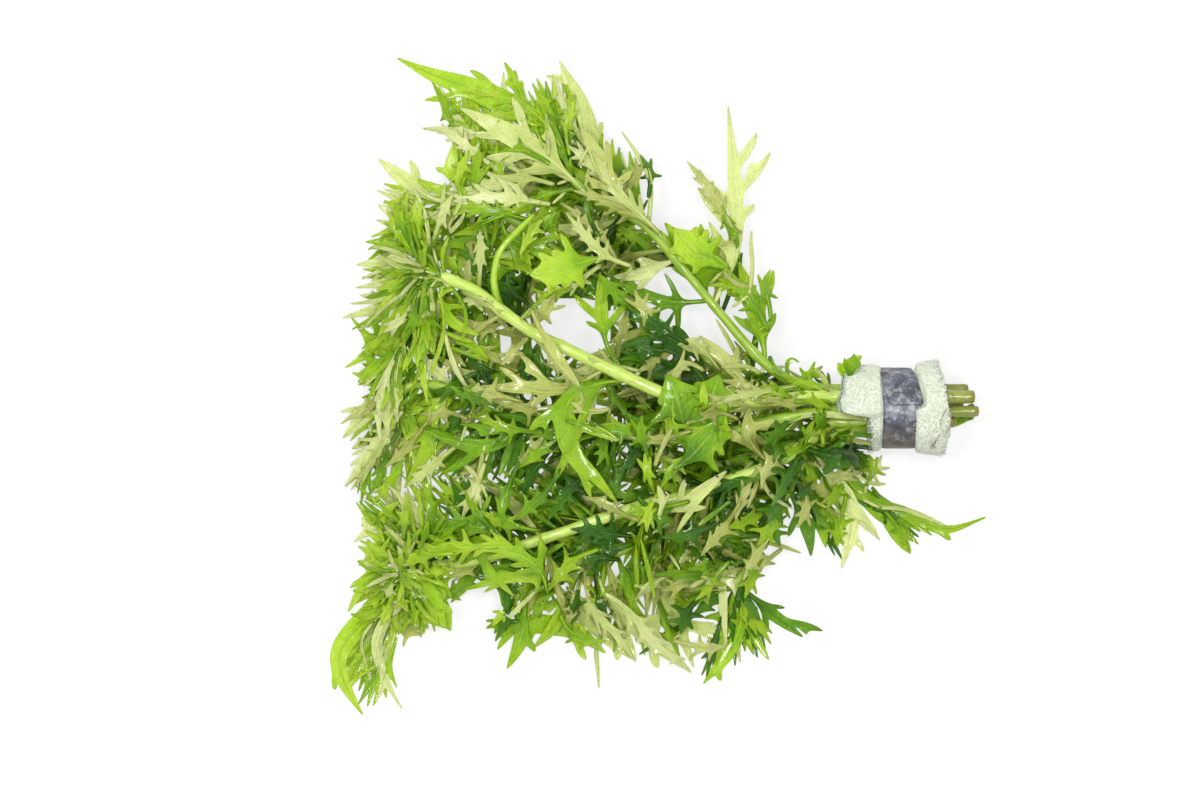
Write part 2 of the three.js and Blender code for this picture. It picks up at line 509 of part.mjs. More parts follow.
function stamp(geometry) {
  const at = geometry.attributes.position;
  const index = geometry.index;
  const count = index ? index.count : at.count;
  const corner = (i) => new THREE.Vector3().fromBufferAttribute(at, index ? index.getX(i) : i);
  for (let i = 0; i < count; i += 3) {
    const [a, b, c] = [corner(i), corner(i + 1), corner(i + 2)];
    const area = (b.x - a.x) * (c.y - a.y) - (b.y - a.y) * (c.x - a.x);
    if (area <= 1e-9) continue;
    const xs = [a.x, b.x, c.x];
    const ys = [a.y, b.y, c.y];
    for (let x = Math.floor(Math.min(...xs)); x <= Math.ceil(Math.max(...xs)); x += 1) {
      for (let y = Math.floor(Math.min(...ys)); y <= Math.ceil(Math.max(...ys)); y += 1) {
        const u = ((x - a.x) * (c.y - a.y) - (y - a.y) * (c.x - a.x)) / area;
        const v = ((b.x - a.x) * (y - a.y) - (b.y - a.y) * (x - a.x)) / area;
        if (u < 0 || v < 0 || u + v > 1) continue;
        const cell = (x - GRID.low) * GRID.size + (y - GRID.low);
        const height = a.z + u * (b.z - a.z) + v * (c.z - a.z);
        pileTop[cell] = Math.max(pileTop[cell], height);
      }
    }
  }
}

function topNear(point, radius) {
  let top = 0;
  for (let x = Math.round(point.x - radius); x <= Math.round(point.x + radius); x += 1) {
    for (let y = Math.round(point.y - radius); y <= Math.round(point.y + radius); y += 1) {
      top = Math.max(top, pileTop[(x - GRID.low) * GRID.size + (y - GRID.low)]);
    }
  }
  return top;
}

// A stem that lies higher in the pile roofs over the leaves below it
function roofOver(point, stemsAbove) {
  let roof = Infinity;
  for (const { radius, samples } of stemsAbove) {
    for (const sample of samples) {
      if (Math.hypot(sample.x - point.x, sample.y - point.y) < radius + 2.5) {
        roof = Math.min(roof, sample.z - radius);
      }
    }
  }
  return roof;
}

function bendLeaf({ geometry, vertices }, heights, extraBelow = 0) {
  const bent = geometry.clone();
  vertices.forEach(({ corner, onTop }, i) => {
    bent.attributes.position.setZ(i, heights[corner] + (onTop ? LEAF_THICKNESS : -extraBelow));
  });
  return bent;
}

function inWindow(point) {
  return WINDOWS.some(([left, top, right, bottom]) => {
    const low = place([left, bottom]);
    const high = place([right, top]);
    return point.x > low.x && point.x < high.x && point.y > low.y && point.y < high.y;
  });
}

// The stalks of the larger leaves are kept free of small ones
function overPetiole(point) {
  return PILE.some(({ spine }) => spine && spine.slice(0, 2).some((pixels) => (
    place(pixels).distanceTo(point) < 2.5)));
}

// Lays a leaf on the pile: from its stem's side out to its own level, over what is below it and under the
// stems that lie higher. Corners near a clash are moved up or down until the leaf is clear.
function layLeaf(leaf, placed, stem, stemsAbove) {
  const spine = leaf.spine.map(place);
  const root = stem.samples.reduce((best, sample) => (
    Math.hypot(sample.x - spine[0].x, sample.y - spine[0].y)
      < Math.hypot(best.x - spine[0].x, best.y - spine[0].y) ? sample : best));
  const way = spine[1].clone().sub(root).normalize();
  const rootGap = leaf.fused ? 0 : stem.radius + GAP + 0.4;
  spine[0] = new THREE.Vector2(root.x, root.y).addScaledVector(way, rootGap);
  const limb = { spine: new THREE.SplineCurve(spine) };
  const length = limb.spine.getLength();
  const petioleShare = Math.min(0.3, 7 / length);
  limb.half = bladeHalf(span(leaf.width), petioleShare);
  const lobes = leaf.lobes.map((lobe) => lobeLimb(limb, lobe, petioleShare));
  const sheet = flatLeaf(limb, lobes, petioleShare, leaf.fused ? [0.4] : [0, 0.2, 0.4, 0.6, 0.8]);
  if (leaf.fused && sheet.corners.some((point) => inWindow(point) || overPetiole(point))) return null;

  const reach = Math.min(25, length * 0.5);
  const heights = sheet.corners.map((point) => {
    const out = Math.hypot(point.x - spine[0].x, point.y - spine[0].y);
    const wanted = THREE.MathUtils.lerp(root.z, leaf.level * moundHeight(point), ease(out / reach));
    const under = topNear(point, out < 2 ? 0 : 2);
    const floor = under > 0 ? under + GAP : 0;
    const roof = roofOver(point, out < 4 ? stemsAbove.filter((other) => other !== stem) : stemsAbove);
    return Math.max(0, Math.min(Math.max(wanted, floor), roof - LEAF_THICKNESS - GAP));
  });

  const near = placed.filter((piece) => piece.box.intersectsBox(leafBox(sheet.corners)));
  for (let round = 0; round < 90; round += 1) {
    const trial = toSolid(bendLeaf(sheet, heights, GAP));
    let clear = true;
    for (const piece of near) {
      const clash = trial.intersect(piece.solid);
      if (clash.isEmpty() || clash.volume() < 1e-4) continue;
      clear = false;
      const { min, max } = clash.boundingBox();
      const lift = piece.above ? -LIFT_STEP : LIFT_STEP;
      sheet.corners.forEach((point, i) => {
        const dx = Math.max(min[0] - point.x, 0, point.x - max[0]);
        const dy = Math.max(min[1] - point.y, 0, point.y - max[1]);
        const weight = 1 - Math.hypot(dx, dy) / LIFT_REACH;
        if (weight > 0) heights[i] = Math.max(0, heights[i] + lift * weight);
      });
    }
    if (clear) return bendLeaf(sheet, heights);
    if (leaf.fused && Math.max(...heights) > root.z + 2) return null;
  }
  if (leaf.fused) return null;
  throw new Error(`${leaf.name} finds no room in the pile`);
}

function leafBox(corners) {
  const box = new THREE.Box3();
  corners.forEach(({ x, y }) => box.expandByPoint(new THREE.Vector3(x, y, 0)));
  box.min.z = -1000;
  box.max.z = 1000;
  return box;
}

function withBox(geometry, above = false) {
  geometry.computeBoundingBox();
  return { box: geometry.boundingBox.clone(), solid: toSolid(geometry), above };
}

// Small leaves grow in pairs at a stem's nodes, one to each side, leaning towards its tip. Each is fused to
// the stem where it finds room in the pile.
const toPixels = ({ x, y }) => [x * PX_PER_MM + VIEW_CENTRE[0], VIEW_CENTRE[1] - y * PX_PER_MM];
function sideLeaf(stem, node, sign) {
  const { nodes, from, to, length, level } = stem.side;
  const t = from + ((to - from) * node) / (nodes - 1);
  const at = stem.curve.getPointAt(t);
  const along = stem.curve.getTangentAt(t);
  const wave = Math.sin(2.4 * node + sign);
  const lean = THREE.MathUtils.degToRad(54 + 16 * wave) * sign;
  const way = new THREE.Vector2(along.x, along.y).normalize().rotateAround(new THREE.Vector2(), lean);
  const root = new THREE.Vector2(at.x, at.y);
  const reach = length * (1 + 0.25 * Math.cos(1.7 * node - sign));
  const reached = (share, sideways) => toPixels(root.clone().addScaledVector(way, reach * share)
    .add(new THREE.Vector2(-way.y, way.x).multiplyScalar(reach * sideways)));
  return {
    name: `${stem.name} side leaf ${node}`, fused: true, level: level * (1 + 0.3 * wave), width: 15,
    spine: [reached(0, 0), reached(0.35, 0.03 * sign), reached(0.7, 0.02 * sign), reached(1, -0.08 * sign)],
    lobes: [[...reached(0.72, 0.24), 8], [...reached(0.62, -0.26), 8]],
  };
}

function growSideLeaves(stem, placed, stemsAbove) {
  const above = stemsAbove.filter((other) => other !== stem);
  let whole = toSolid(stem.geometry);
  const near = [...placed];
  for (let node = 0; node < stem.side.nodes; node += 1) {
    for (const sign of [1, -1]) {
      const geometry = layLeaf(sideLeaf(stem, node, sign), near, stem, above);
      if (geometry) {
        whole = whole.add(toSolid(geometry));
        near.push(withBox(geometry));
        stamp(geometry);
      }
    }
  }
  return fromSolid(whole);
}

function buildBunch() {
  const group = new THREE.Group();
  const addMesh = (name, geometry, material) => {
    const mesh = new THREE.Mesh(geometry, material);
    mesh.name = name;
    group.add(mesh);
  };
  const foamMaterial = new THREE.MeshStandardMaterial({ color: 0xe1e6d7, roughness: 0.9 });
  const leadMaterial = new THREE.MeshStandardMaterial({ color: 0x6e6e72, roughness: 0.5, metalness: 0.8 });
  const stemMaterial = new THREE.MeshStandardMaterial({ color: 0xa9c640, roughness: 0.45 });
  const leafMaterials = Object.fromEntries(Object.entries(TINTS).map(([tint, color]) => (
    [tint, new THREE.MeshStandardMaterial({ color, roughness: 0.4 })])));

  const foam = boredFoam();
  addMesh('foam_wrap', foam, foamMaterial);
  addMesh('lead_strip', stripGeometry(), leadMaterial);
  const stems = Object.fromEntries(Object.entries(STEMS).map(([name, stem]) => {
    const curve = stemCurve(stem);
    const samples = curve.getSpacedPoints(160);
    return [name, { ...stem, name, curve, samples, geometry: stemGeometry(stem, curve) }];
  }));

  const fixed = [withBox(foam)];
  const laid = [];
  PILE.forEach((entry, order) => {
    const stemsAbove = PILE.slice(order).filter((later) => typeof later === 'string').map((later) => stems[later]);
    const roofOf = (others) => others.map(({ geometry }) => withBox(geometry, true));
    if (typeof entry === 'string') {
      const stem = stems[entry];
      const geometry = growSideLeaves(stem, [...fixed, ...laid, ...roofOf(stemsAbove.slice(1))], stemsAbove);
      addMesh(entry, geometry, stemMaterial);
      laid.push(withBox(geometry));
      stamp(geometry);
      return;
    }
    const geometry = layLeaf(entry, [...fixed, ...laid, ...roofOf(stemsAbove)], stems[entry.on], stemsAbove);
    addMesh(entry.name, geometry, leafMaterials[entry.tint]);
    laid.push(withBox(geometry));
    stamp(geometry);
  });

  // from the photograph's middle to the middle of the bunch's own box
  const box = new THREE.Box3().setFromObject(group);
  const centre = box.getCenter(new THREE.Vector3());
  group.position.set(-centre.x, -centre.y, -box.min.z);
  return group;
}

export default buildBunch();
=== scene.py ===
# %% [markdown]
# A cut bunch of water wisteria: seven stems in a foam wrap that a bent lead strip holds, lying on a white
# surface and seen from above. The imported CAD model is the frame, in metres, with +Z up. It gives the stems,
# the wrap, the strip and the fifty largest leaves as plain solids. This file dresses them one kind of
# piece at a time, and adds what is too small and too many for solids: the crowd of smaller leaves.

import json
import math
import random

import bmesh
import bpy
from mathutils import Matrix, Vector, geometry, noise
from mathutils.bvhtree import BVHTree

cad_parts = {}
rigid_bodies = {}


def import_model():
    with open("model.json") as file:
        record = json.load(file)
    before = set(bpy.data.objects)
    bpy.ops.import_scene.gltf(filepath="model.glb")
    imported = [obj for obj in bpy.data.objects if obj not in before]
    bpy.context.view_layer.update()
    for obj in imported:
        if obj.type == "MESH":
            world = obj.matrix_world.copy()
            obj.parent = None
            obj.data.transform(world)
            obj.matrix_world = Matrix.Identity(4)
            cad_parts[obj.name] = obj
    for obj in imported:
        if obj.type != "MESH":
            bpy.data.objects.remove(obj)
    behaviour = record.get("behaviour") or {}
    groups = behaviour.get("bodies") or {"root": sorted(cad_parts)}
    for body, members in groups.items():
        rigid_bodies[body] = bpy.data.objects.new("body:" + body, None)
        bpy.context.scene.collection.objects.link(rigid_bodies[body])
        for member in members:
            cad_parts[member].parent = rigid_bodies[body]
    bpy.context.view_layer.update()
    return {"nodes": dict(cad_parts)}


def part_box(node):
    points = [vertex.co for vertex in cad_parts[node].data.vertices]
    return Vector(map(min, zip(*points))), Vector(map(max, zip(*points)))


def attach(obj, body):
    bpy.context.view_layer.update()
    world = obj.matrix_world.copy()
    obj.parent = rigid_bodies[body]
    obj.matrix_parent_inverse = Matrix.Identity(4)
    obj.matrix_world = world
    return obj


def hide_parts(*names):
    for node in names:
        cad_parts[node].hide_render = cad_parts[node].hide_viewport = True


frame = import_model()
nodes = frame["nodes"]
MM = 0.001

# %% [markdown]
# The bunch was photographed from straight above, at three pixels to the millimetre. A place in the picture
# is therefore a place on the table, once one thing is known in both. Here that is the foam wrap: its left
# end is at column 840 and its axis on row 408. With that, every leaf can be laid where it was seen.

# %% From pixels to metres
PIXEL = MM / 3
FOAM_LEFT, FOAM_ROW = 840, 408
foam_low, foam_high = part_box("foam_wrap")
foam_axis_y = (foam_low.y + foam_high.y) / 2


def spot(column, row, height=0.0):
    """The place of a pixel, in metres. height is in millimetres."""
    x = foam_low.x + (column - FOAM_LEFT) * PIXEL
    y = foam_axis_y + (FOAM_ROW - row) * PIXEL
    return Vector((x, y, height * MM))


def pixel(place):
    """The column and row of a place."""
    return (place.x - foam_low.x) / PIXEL + FOAM_LEFT, FOAM_ROW - (place.y - foam_axis_y) / PIXEL


print("middle of the picture:", [round(v / MM, 1) for v in spot(600, 400)])

# %% [markdown]
# Stalks, stems and midribs all follow smooth paths through a few known places. A Catmull-Rom curve goes
# through every one of them. The centripetal kind is used, because it doesn't loop where two places lie
# close together.


# %% A smooth path
class Path:
    """A smooth path through places, read by the share of its length"""

    def __init__(self, places, fineness=8):
        first = 2 * places[0] - places[1]
        last = 2 * places[-1] - places[-2]
        ends = [first, *places, last]
        self.places = []
        for p0, p1, p2, p3 in zip(ends, ends[1:], ends[2:], ends[3:]):
            k1 = (p1 - p0).length ** 0.5
            k2 = k1 + (p2 - p1).length ** 0.5
            k3 = k2 + (p3 - p2).length ** 0.5
            for i in range(fineness):
                k = k1 + (k2 - k1) * i / fineness
                a1 = p0.lerp(p1, k / k1)
                a2 = p1.lerp(p2, (k - k1) / (k2 - k1))
                a3 = p2.lerp(p3, (k - k2) / (k3 - k2))
                b1 = a1.lerp(a2, k / k2)
                b2 = a2.lerp(a3, (k - k1) / (k3 - k1))
                self.places.append(b1.lerp(b2, (k - k1) / (k2 - k1)))
        self.places.append(places[-1].copy())
        self.marks = [0.0]
        for a, b in zip(self.places, self.places[1:]):
            self.marks.append(self.marks[-1] + (b - a).length)
        self.length = self.marks[-1]

    def step_at(self, share):
        mark = min(max(share, 0), 1) * self.length
        low, high = 0, len(self.marks) - 2
        while low < high:
            middle = (low + high + 1) // 2
            if self.marks[middle] <= mark:
                low = middle
            else:
                high = middle - 1
        return low, (mark - self.marks[low]) / (self.marks[low + 1] - self.marks[low])

    def at(self, share):
        i, rest = self.step_at(share)
        return self.places[i].lerp(self.places[i + 1], rest)

    def way(self, share):
        i, rest = self.step_at(share)
        before = self.places[max(i - 1, 0)]
        after = self.places[min(i + 2, len(self.places) - 1)]
        here = self.places[i + 1] - self.places[i]
        return here.lerp(after - before, 0.4).normalized()


def flat(vector):
    return Vector((vector.x, vector.y, 0))


def leftward(way):
    """The direction to the left of a way, seen from above"""
    return Vector((-way.y, way.x, 0)).normalized()


# %% [markdown]
# Colours are noted as they were read from the picture, from 0 to 255 a channel. Blender mixes light in
# linear values, so each is converted once. A material is a tree of nodes, and much of it repeats: a noise, a
# ramp, a sum. So each of these gets a small helper, which adds its node, sets the inputs that are numbers,
# and links the ones that are sockets of other nodes.


# %% Paint and node helpers
def paint(red, green, blue):
    """A colour read from a picture, as linear light"""
    def linear(channel):
        value = channel / 255
        return value / 12.92 if value <= 0.04045 else ((value + 0.055) / 1.055) ** 2.4
    return linear(red), linear(green), linear(blue), 1.0


def feed(tree, socket, value):
    """Set a socket to a number or a colour, or link it where the value is a socket itself"""
    if isinstance(value, bpy.types.NodeSocket):
        tree.links.new(value, socket)
    else:
        socket.default_value = value


def dress(tree, node, **values):
    """Feed a node's inputs. In a name _ stands for a space, and _0 is the first input."""
    for name, value in values.items():
        key = int(name[1:]) if name[0] == "_" else name.replace("_", " ")
        feed(tree, node.inputs[key], value)


def add(tree, kind, operation=None, **values):
    node = tree.nodes.new(kind)
    if operation:
        node.operation = operation
    dress(tree, node, **values)
    return node


def maths(tree, operation, *values, clamp=False):
    node = add(tree, "ShaderNodeMath", operation, **{f"_{i}": v for i, v in enumerate(values)})
    node.use_clamp = clamp
    return node.outputs[0]


def times(tree, first, second):
    return maths(tree, "MULTIPLY", first, second)


def blend(tree, share, first, second):
    """Two colours mixed by a share"""
    node = tree.nodes.new("ShaderNodeMix")
    node.data_type = "RGBA"
    dress(tree, node, _0=share, _6=first, _7=second)
    return node.outputs[2]


def ramp(tree, value, *stops):
    """A colour ramp: stops are (place, colour) or (place, grey)"""
    node = add(tree, "ShaderNodeValToRGB", Fac=value)
    elements = node.color_ramp.elements
    while len(elements) < len(stops):
        elements.new(0.5)
    for element, (place, colour) in zip(elements, stops):
        element.position = place
        element.color = colour if isinstance(colour, tuple) else (colour, colour, colour, 1)
    return node.outputs[0]


def mask(tree, value, low, high):
    """0 below low and 1 above high"""
    return ramp(tree, value, (low, 0.0), (high, 1.0))


print("a leaf green as linear light:", [round(v, 3) for v in paint(126, 176, 18)])

# %% [markdown]
# A pattern has to know where it is. It can read the place in the object's own space, a fact stored at each
# corner of the mesh, or the UV map of a blade, strip or rod, which follows it round every bend. An effect
# that several materials share goes into a node group, with named inputs and outputs.


# %% Material and group helpers
def new_material(name):
    material = bpy.data.materials.new(name)
    material.use_nodes = True
    tree = material.node_tree
    return material, tree, tree.nodes["Principled BSDF"]


def object_place(tree):
    return add(tree, "ShaderNodeTexCoord").outputs["Object"]


def attribute(tree, name):
    node = add(tree, "ShaderNodeAttribute")
    node.attribute_name = name
    return node.outputs["Fac"]


def blade_uv(tree):
    node = add(tree, "ShaderNodeUVMap")
    node.uv_map = "blade"
    return node.outputs[0]


def drawn_out(tree, along, across):
    """The blade's UV, scaled so that a noise on it makes streaks"""
    scale = (along, across, 1.0)
    return add(tree, "ShaderNodeVectorMath", "MULTIPLY", _0=blade_uv(tree), _1=scale).outputs[0]


def noise_of(tree, place, scale, detail=3.0, roughness=0.55):
    node = add(tree, "ShaderNodeTexNoise", Vector=place, Scale=scale, Detail=detail, Roughness=roughness)
    return node.outputs["Fac"]


def bump_of(tree, height, strength, distance):
    return add(tree, "ShaderNodeBump", Strength=strength, Distance=distance, Height=height).outputs[0]


def new_group(name, inputs, outputs):
    """An empty node group with named number sockets, and its two end nodes"""
    group = bpy.data.node_groups.new(name, "ShaderNodeTree")
    for titles, way in ((inputs, "INPUT"), (outputs, "OUTPUT")):
        for title in titles:
            group.interface.new_socket(title, in_out=way, socket_type="NodeSocketFloat")
    return group, group.nodes.new("NodeGroupInput"), group.nodes.new("NodeGroupOutput")


def place_group(tree, group, **values):
    node = tree.nodes.new("ShaderNodeGroup")
    node.node_tree = group
    dress(tree, node, **values)
    return node.outputs


print("patterns read the place, a stored fact or the blade's UV")

# %% [markdown]
# A wisteria blade has a pale midrib and side veins that leave it at a slant. The leaf cage below stores two
# facts at each corner as its UV: how far along the blade it is, in millimetres, and how far out from the
# midrib, from -1 to 1. The vein pattern is drawn from those, so it follows each blade however it bends. It
# is a node group, because every leaf material uses it.

# %% Leaf veins
RIB_SHARE, VEIN_SHARE = 0.13, 0.11  # how much of the half width, and of the spacing, a vein takes
veins, v_in, v_out = new_group("leaf veins", ("Spacing", "Slant"), ("Rib", "Side"))
along_across = add(veins, "ShaderNodeSeparateXYZ", Vector=blade_uv(veins))
out = maths(veins, "ABSOLUTE", along_across.outputs[1])
rib = maths(veins, "SUBTRACT", 1.0, maths(veins, "DIVIDE", out, RIB_SHARE), clamp=True)
wander = noise_of(veins, object_place(veins), 260.0, 2.0)
slid = maths(veins, "SUBTRACT", along_across.outputs[0], times(veins, out, v_in.outputs["Slant"]))
slid = maths(veins, "ADD", slid, wander)
wave = maths(veins, "PINGPONG", slid, times(veins, v_in.outputs["Spacing"], 0.5))
wave = maths(veins, "DIVIDE", wave, v_in.outputs["Spacing"])
side = maths(veins, "SUBTRACT", 1.0, maths(veins, "DIVIDE", wave, VEIN_SHARE), clamp=True)
fade = maths(veins, "SUBTRACT", 1.1, out, clamp=True)
dress(veins, v_out, Rib=rib, Side=times(veins, side, fade))
print("vein group:", len(veins.nodes), "nodes")

# %% [markdown]
# The bunch has just come out of the water. A wet leaf has a broken film: patches of water that are smooth
# and mirror the light, and a skin between them that is duller. This group gives a mask of the patches and
# a gentle height, and each material turns them into roughness, coat and bump.

# %% Wet film
wet_film, w_in, w_out = new_group("wet film", ("Patch",), ("Wet", "Height"))
place = object_place(wet_film)
patches = noise_of(wet_film, place, w_in.outputs["Patch"], 4.0, 0.6)
swell = noise_of(wet_film, place, 300.0, 1.0)
crinkle = noise_of(wet_film, place, 1100.0, 1.0)
height = maths(wet_film, "ADD", swell, times(wet_film, crinkle, 0.14))
dress(wet_film, w_out, Wet=mask(wet_film, patches, 0.46, 0.6), Height=height)
print("wet film group:", len(wet_film.nodes), "nodes")

# %% [markdown]
# The same plant shows five kinds of blade: bright young tips, mid green, dark old leaves deep in the pile,
# pale ones seen from below, and dull olive ones. A sixth look is for all undersides. They share one recipe.
# Colour runs from the stalk to the tip, shifted by a tone that each leaf keeps for itself, with blotches
# and veins over it. A blade is so thin that light shines through, so the glossy skin is mixed with a
# translucent shader in a brighter colour.

# %% Leaf materials
# tint: (deep, fresh, tip, vein)
TINTS = {
    "bright": (paint(112, 164, 12), paint(164, 206, 26), paint(198, 226, 66), paint(210, 232, 118)),
    "green": (paint(74, 124, 8), paint(126, 176, 18), paint(174, 208, 42), paint(184, 214, 86)),
    "dark": (paint(24, 62, 6), paint(54, 112, 14), paint(100, 154, 24), paint(118, 164, 50)),
    "pale": (paint(192, 206, 112), paint(218, 228, 146), paint(230, 236, 170), paint(236, 240, 190)),
    "olive": (paint(152, 162, 70), paint(194, 202, 110), paint(212, 218, 138), paint(222, 226, 162)),
    "under": (paint(156, 182, 80), paint(198, 216, 112), paint(214, 228, 138), paint(224, 232, 156)),
}
# the light that comes through a leaf, where it isn't the common yellow-green
THROUGH = {"pale": paint(238, 246, 168), "olive": paint(232, 234, 134), "under": paint(232, 244, 140)}
GLOSS = {"bright": 0.3, "green": 0.27, "dark": 0.2, "pale": 0.36, "olive": 0.4, "under": 0.45}
THROUGH_OTHERS = paint(200, 226, 54)
LIGHT_THROUGH = 0.42  # the share of light that passes through a blade


def leaf_material(tint):
    deep, fresh, tip, vein = TINTS[tint]
    material, tree, skin = new_material(f"leaf {tint}")
    place = object_place(tree)
    blotch = noise_of(tree, place, 80.0, 3.0, 0.6)
    shift = maths(tree, "ADD", attribute(tree, "along"), times(tree, attribute(tree, "tone"), 0.34))
    shift = maths(tree, "ADD", shift, maths(tree, "MULTIPLY_ADD", blotch, 1.1, -0.5), clamp=True)
    colour = ramp(tree, shift, (0.08, deep), (0.5, fresh), (0.95, tip))
    drawn = place_group(tree, veins, Spacing=3.2, Slant=3.5)
    line = maths(tree, "ADD", times(tree, drawn["Rib"], 0.6), times(tree, drawn["Side"], 0.26), clamp=True)
    colour = blend(tree, line, colour, vein)
    speck = noise_of(tree, place, 900.0, 2.0)
    colour = blend(tree, times(tree, speck, 0.22), colour, deep)
    film = place_group(tree, wet_film, Patch=120.0)
    furrow = noise_of(tree, drawn_out(tree, 0.22, 2.4), 1.4, 1.0, 0.5)
    relief = maths(tree, "MULTIPLY_ADD", line, -0.35, maths(tree, "ADD", film["Height"], furrow))
    bump = bump_of(tree, relief, 0.75, 0.001)
    rough = maths(tree, "MULTIPLY_ADD", film["Wet"], -0.16, GLOSS[tint] + 0.12)
    dress(tree, skin, Base_Color=colour, Roughness=rough, Normal=bump, IOR=1.36,
          Coat_Weight=times(tree, film["Wet"], 0.8), Coat_Roughness=0.09)
    lit = blend(tree, 0.5, colour, THROUGH.get(tint, THROUGH_OTHERS))
    shine = add(tree, "ShaderNodeBsdfTranslucent", Color=lit, Normal=bump)
    mix = add(tree, "ShaderNodeMixShader", Fac=LIGHT_THROUGH, _1=skin.outputs[0], _2=shine.outputs[0])
    dress(tree, tree.nodes["Material Output"], Surface=mix.outputs[0])
    return material


leaf_materials = {tint: leaf_material(tint) for tint in TINTS}
print("leaf materials:", ", ".join(leaf_materials))

# %% [markdown]
# The pile has a shape: low at its rim and some 27 mm over its middle, like a cushion. The leaves of the
# solid model already follow it. Each visible blade that stands for a solid leaf is laid on that leaf's
# upper face, so the two agree from every side. The smaller leaves take their height from the same mound.

# %% Heights in the pile
MOUND_TOP, MOUND_MIDDLE, MOUND_REACH = 27, (590, 385), (285, 330)
FACES_UP = 0.15  # the least upward part of a normal on an upper face


def mound(place):
    """The height of the pile over a place, in metres"""
    column, row = pixel(place)
    across = (column - MOUND_MIDDLE[0]) / MOUND_REACH[0]
    along = (row - MOUND_MIDDLE[1]) / MOUND_REACH[1]
    return MOUND_TOP * MM * max(0, 1 - across ** 2 - along ** 2)


def upper_face(node):
    """A function that gives the height of a solid leaf's upper face near any place"""
    mesh = nodes[node].data
    corners = [flat(v.co) for v in mesh.vertices]
    tops = [tuple(p.vertices) for p in mesh.polygons if p.normal.z > FACES_UP]
    tree = BVHTree.FromPolygons(corners, tops)

    def height(place):
        found, _, index, distance = tree.find_nearest(flat(place))
        a, b, c = tops[index]
        solid = [mesh.vertices[i].co for i in (a, b, c)]
        return geometry.barycentric_transform(found, corners[a], corners[b], corners[c], *solid).z, distance
    return height


whole_pile = bmesh.new()
for node in nodes.values():
    whole_pile.from_mesh(node.data)
pile_tree = BVHTree.FromBMesh(whole_pile)
whole_pile.free()


def solid_top(place):
    """The height of the highest solid under a place, or nothing"""
    hit = pile_tree.ray_cast(Vector((place.x, place.y, 1)), Vector((0, 0, -1)))[0]
    return hit.z if hit else None


print("mound at the middle, mm:", round(mound(spot(*MOUND_MIDDLE)) / MM, 1))

# %% [markdown]
# A wisteria leaf is deeply cut: a narrow blade with long pointed lobes and round bays between them. It could
# be cut from a sheet, but then it stays flat and its edges are jagged. Here it grows as the real one does.
# A strip two squares wide is bent along the midrib, and each lobe is pulled out of a side edge in three
# steps that taper. The strip gets a thickness, and a Subdivision Surface modifier later rounds the bays and
# draws out the tips. Each lobe may bear a small tooth, pulled out of its own side. Chance decides that, and
# much that follows. Its draws come from one seed, so that every run grows the same bunch.

# %% A leaf's measures and the facts it carries
# (share of the lobe's length, share of its width)
LOBE_STEPS = ((0.2, 0.95), (0.6, 0.95), (0.88, 0.5), (1.0, 0.07))
SMALL_LOBE_STEPS = ((0.34, 0.9), (0.82, 0.7), (1.0, 0.07))
LOBE_LEAN, LOBE_BOW = math.radians(48), 0.07
LAST_ROOT = 0.93  # no lobe leaves the midrib beyond this share
TOOTHED_FROM, TOOTH_CHANCE = 7 * MM, 0.55
ROW_LENGTH, SMALL_ROW_LENGTH = 4.2 * MM, 6 * MM
PETIOLE, PETIOLE_SHARE = 7 * MM, 0.3  # a stalk is no longer than either
BLADE = MM * 0.4  # how thick a blade is
chance = random.Random(7)


def smooth(value):
    """0 below 0 and 1 above 1, with an easy curve between"""
    value = min(1.0, max(0.0, value))
    return value * value * (3 - 2 * value)


def blade_half(width, petiole, stalk=0.8 * MM):
    """Half the blade's width at a share of its length: a stalk, then a lance-shaped blade"""
    def half(share):
        u = max(0.0, (share - petiole) / (1 - petiole))
        return max(stalk * (1 - 0.6 * u), width / 2 * math.sin(math.pi * u ** 0.8) ** 0.85)
    return half


def new_piece():
    """An empty cage with the facts that the leaf materials read"""
    piece = bmesh.new()
    piece.loops.layers.uv.new("blade")
    piece.verts.layers.float.new("along")
    piece.verts.layers.float.new("tone")
    return piece


def note(piece, corners, along, tone):
    """Write at each corner where its colour lies along the leaf, and the leaf's own tone"""
    along_layer = piece.verts.layers.float["along"]
    tone_layer = piece.verts.layers.float["tone"]
    for corner in corners:
        corner[along_layer] = along(corner) if callable(along) else along
        corner[tone_layer] = tone


def mark_faces(piece, faces, mark):
    """Write each face corner's UV: mark gives (mm along, share across) for a vertex"""
    layer = piece.loops.layers.uv["blade"]
    for face in faces:
        for loop in face.loops:
            loop[layer].uv = mark[loop.vert]


print("lobe steps:", LOBE_STEPS)

# %% [markdown]
# A lobe starts from one side edge of the strip. The edge is extruded, and its two new ends are carried along
# the lobe's own bowed axis, closer together at each step, until they almost meet in the tip. Extruding one
# edge at a time gives a quad at each step, and quads are what the modifier rounds best.


# %% Pull out lobes and teeth
def pull(piece, edge):
    """Extrude one edge, and pair each old end with its new one"""
    old = list(edge.verts)
    made = bmesh.ops.extrude_edge_only(piece, edges=[edge])["geom"]
    new = [g for g in made if isinstance(g, bmesh.types.BMVert)]
    near = min(new, key=lambda v: (v.co - old[0].co).length)
    far = next(v for v in new if v is not near)
    ahead = next(e for e in near.link_edges if far in e.verts)
    face = next(f for f in ahead.link_faces)
    return ahead, {old[0]: near, old[1]: far}, face


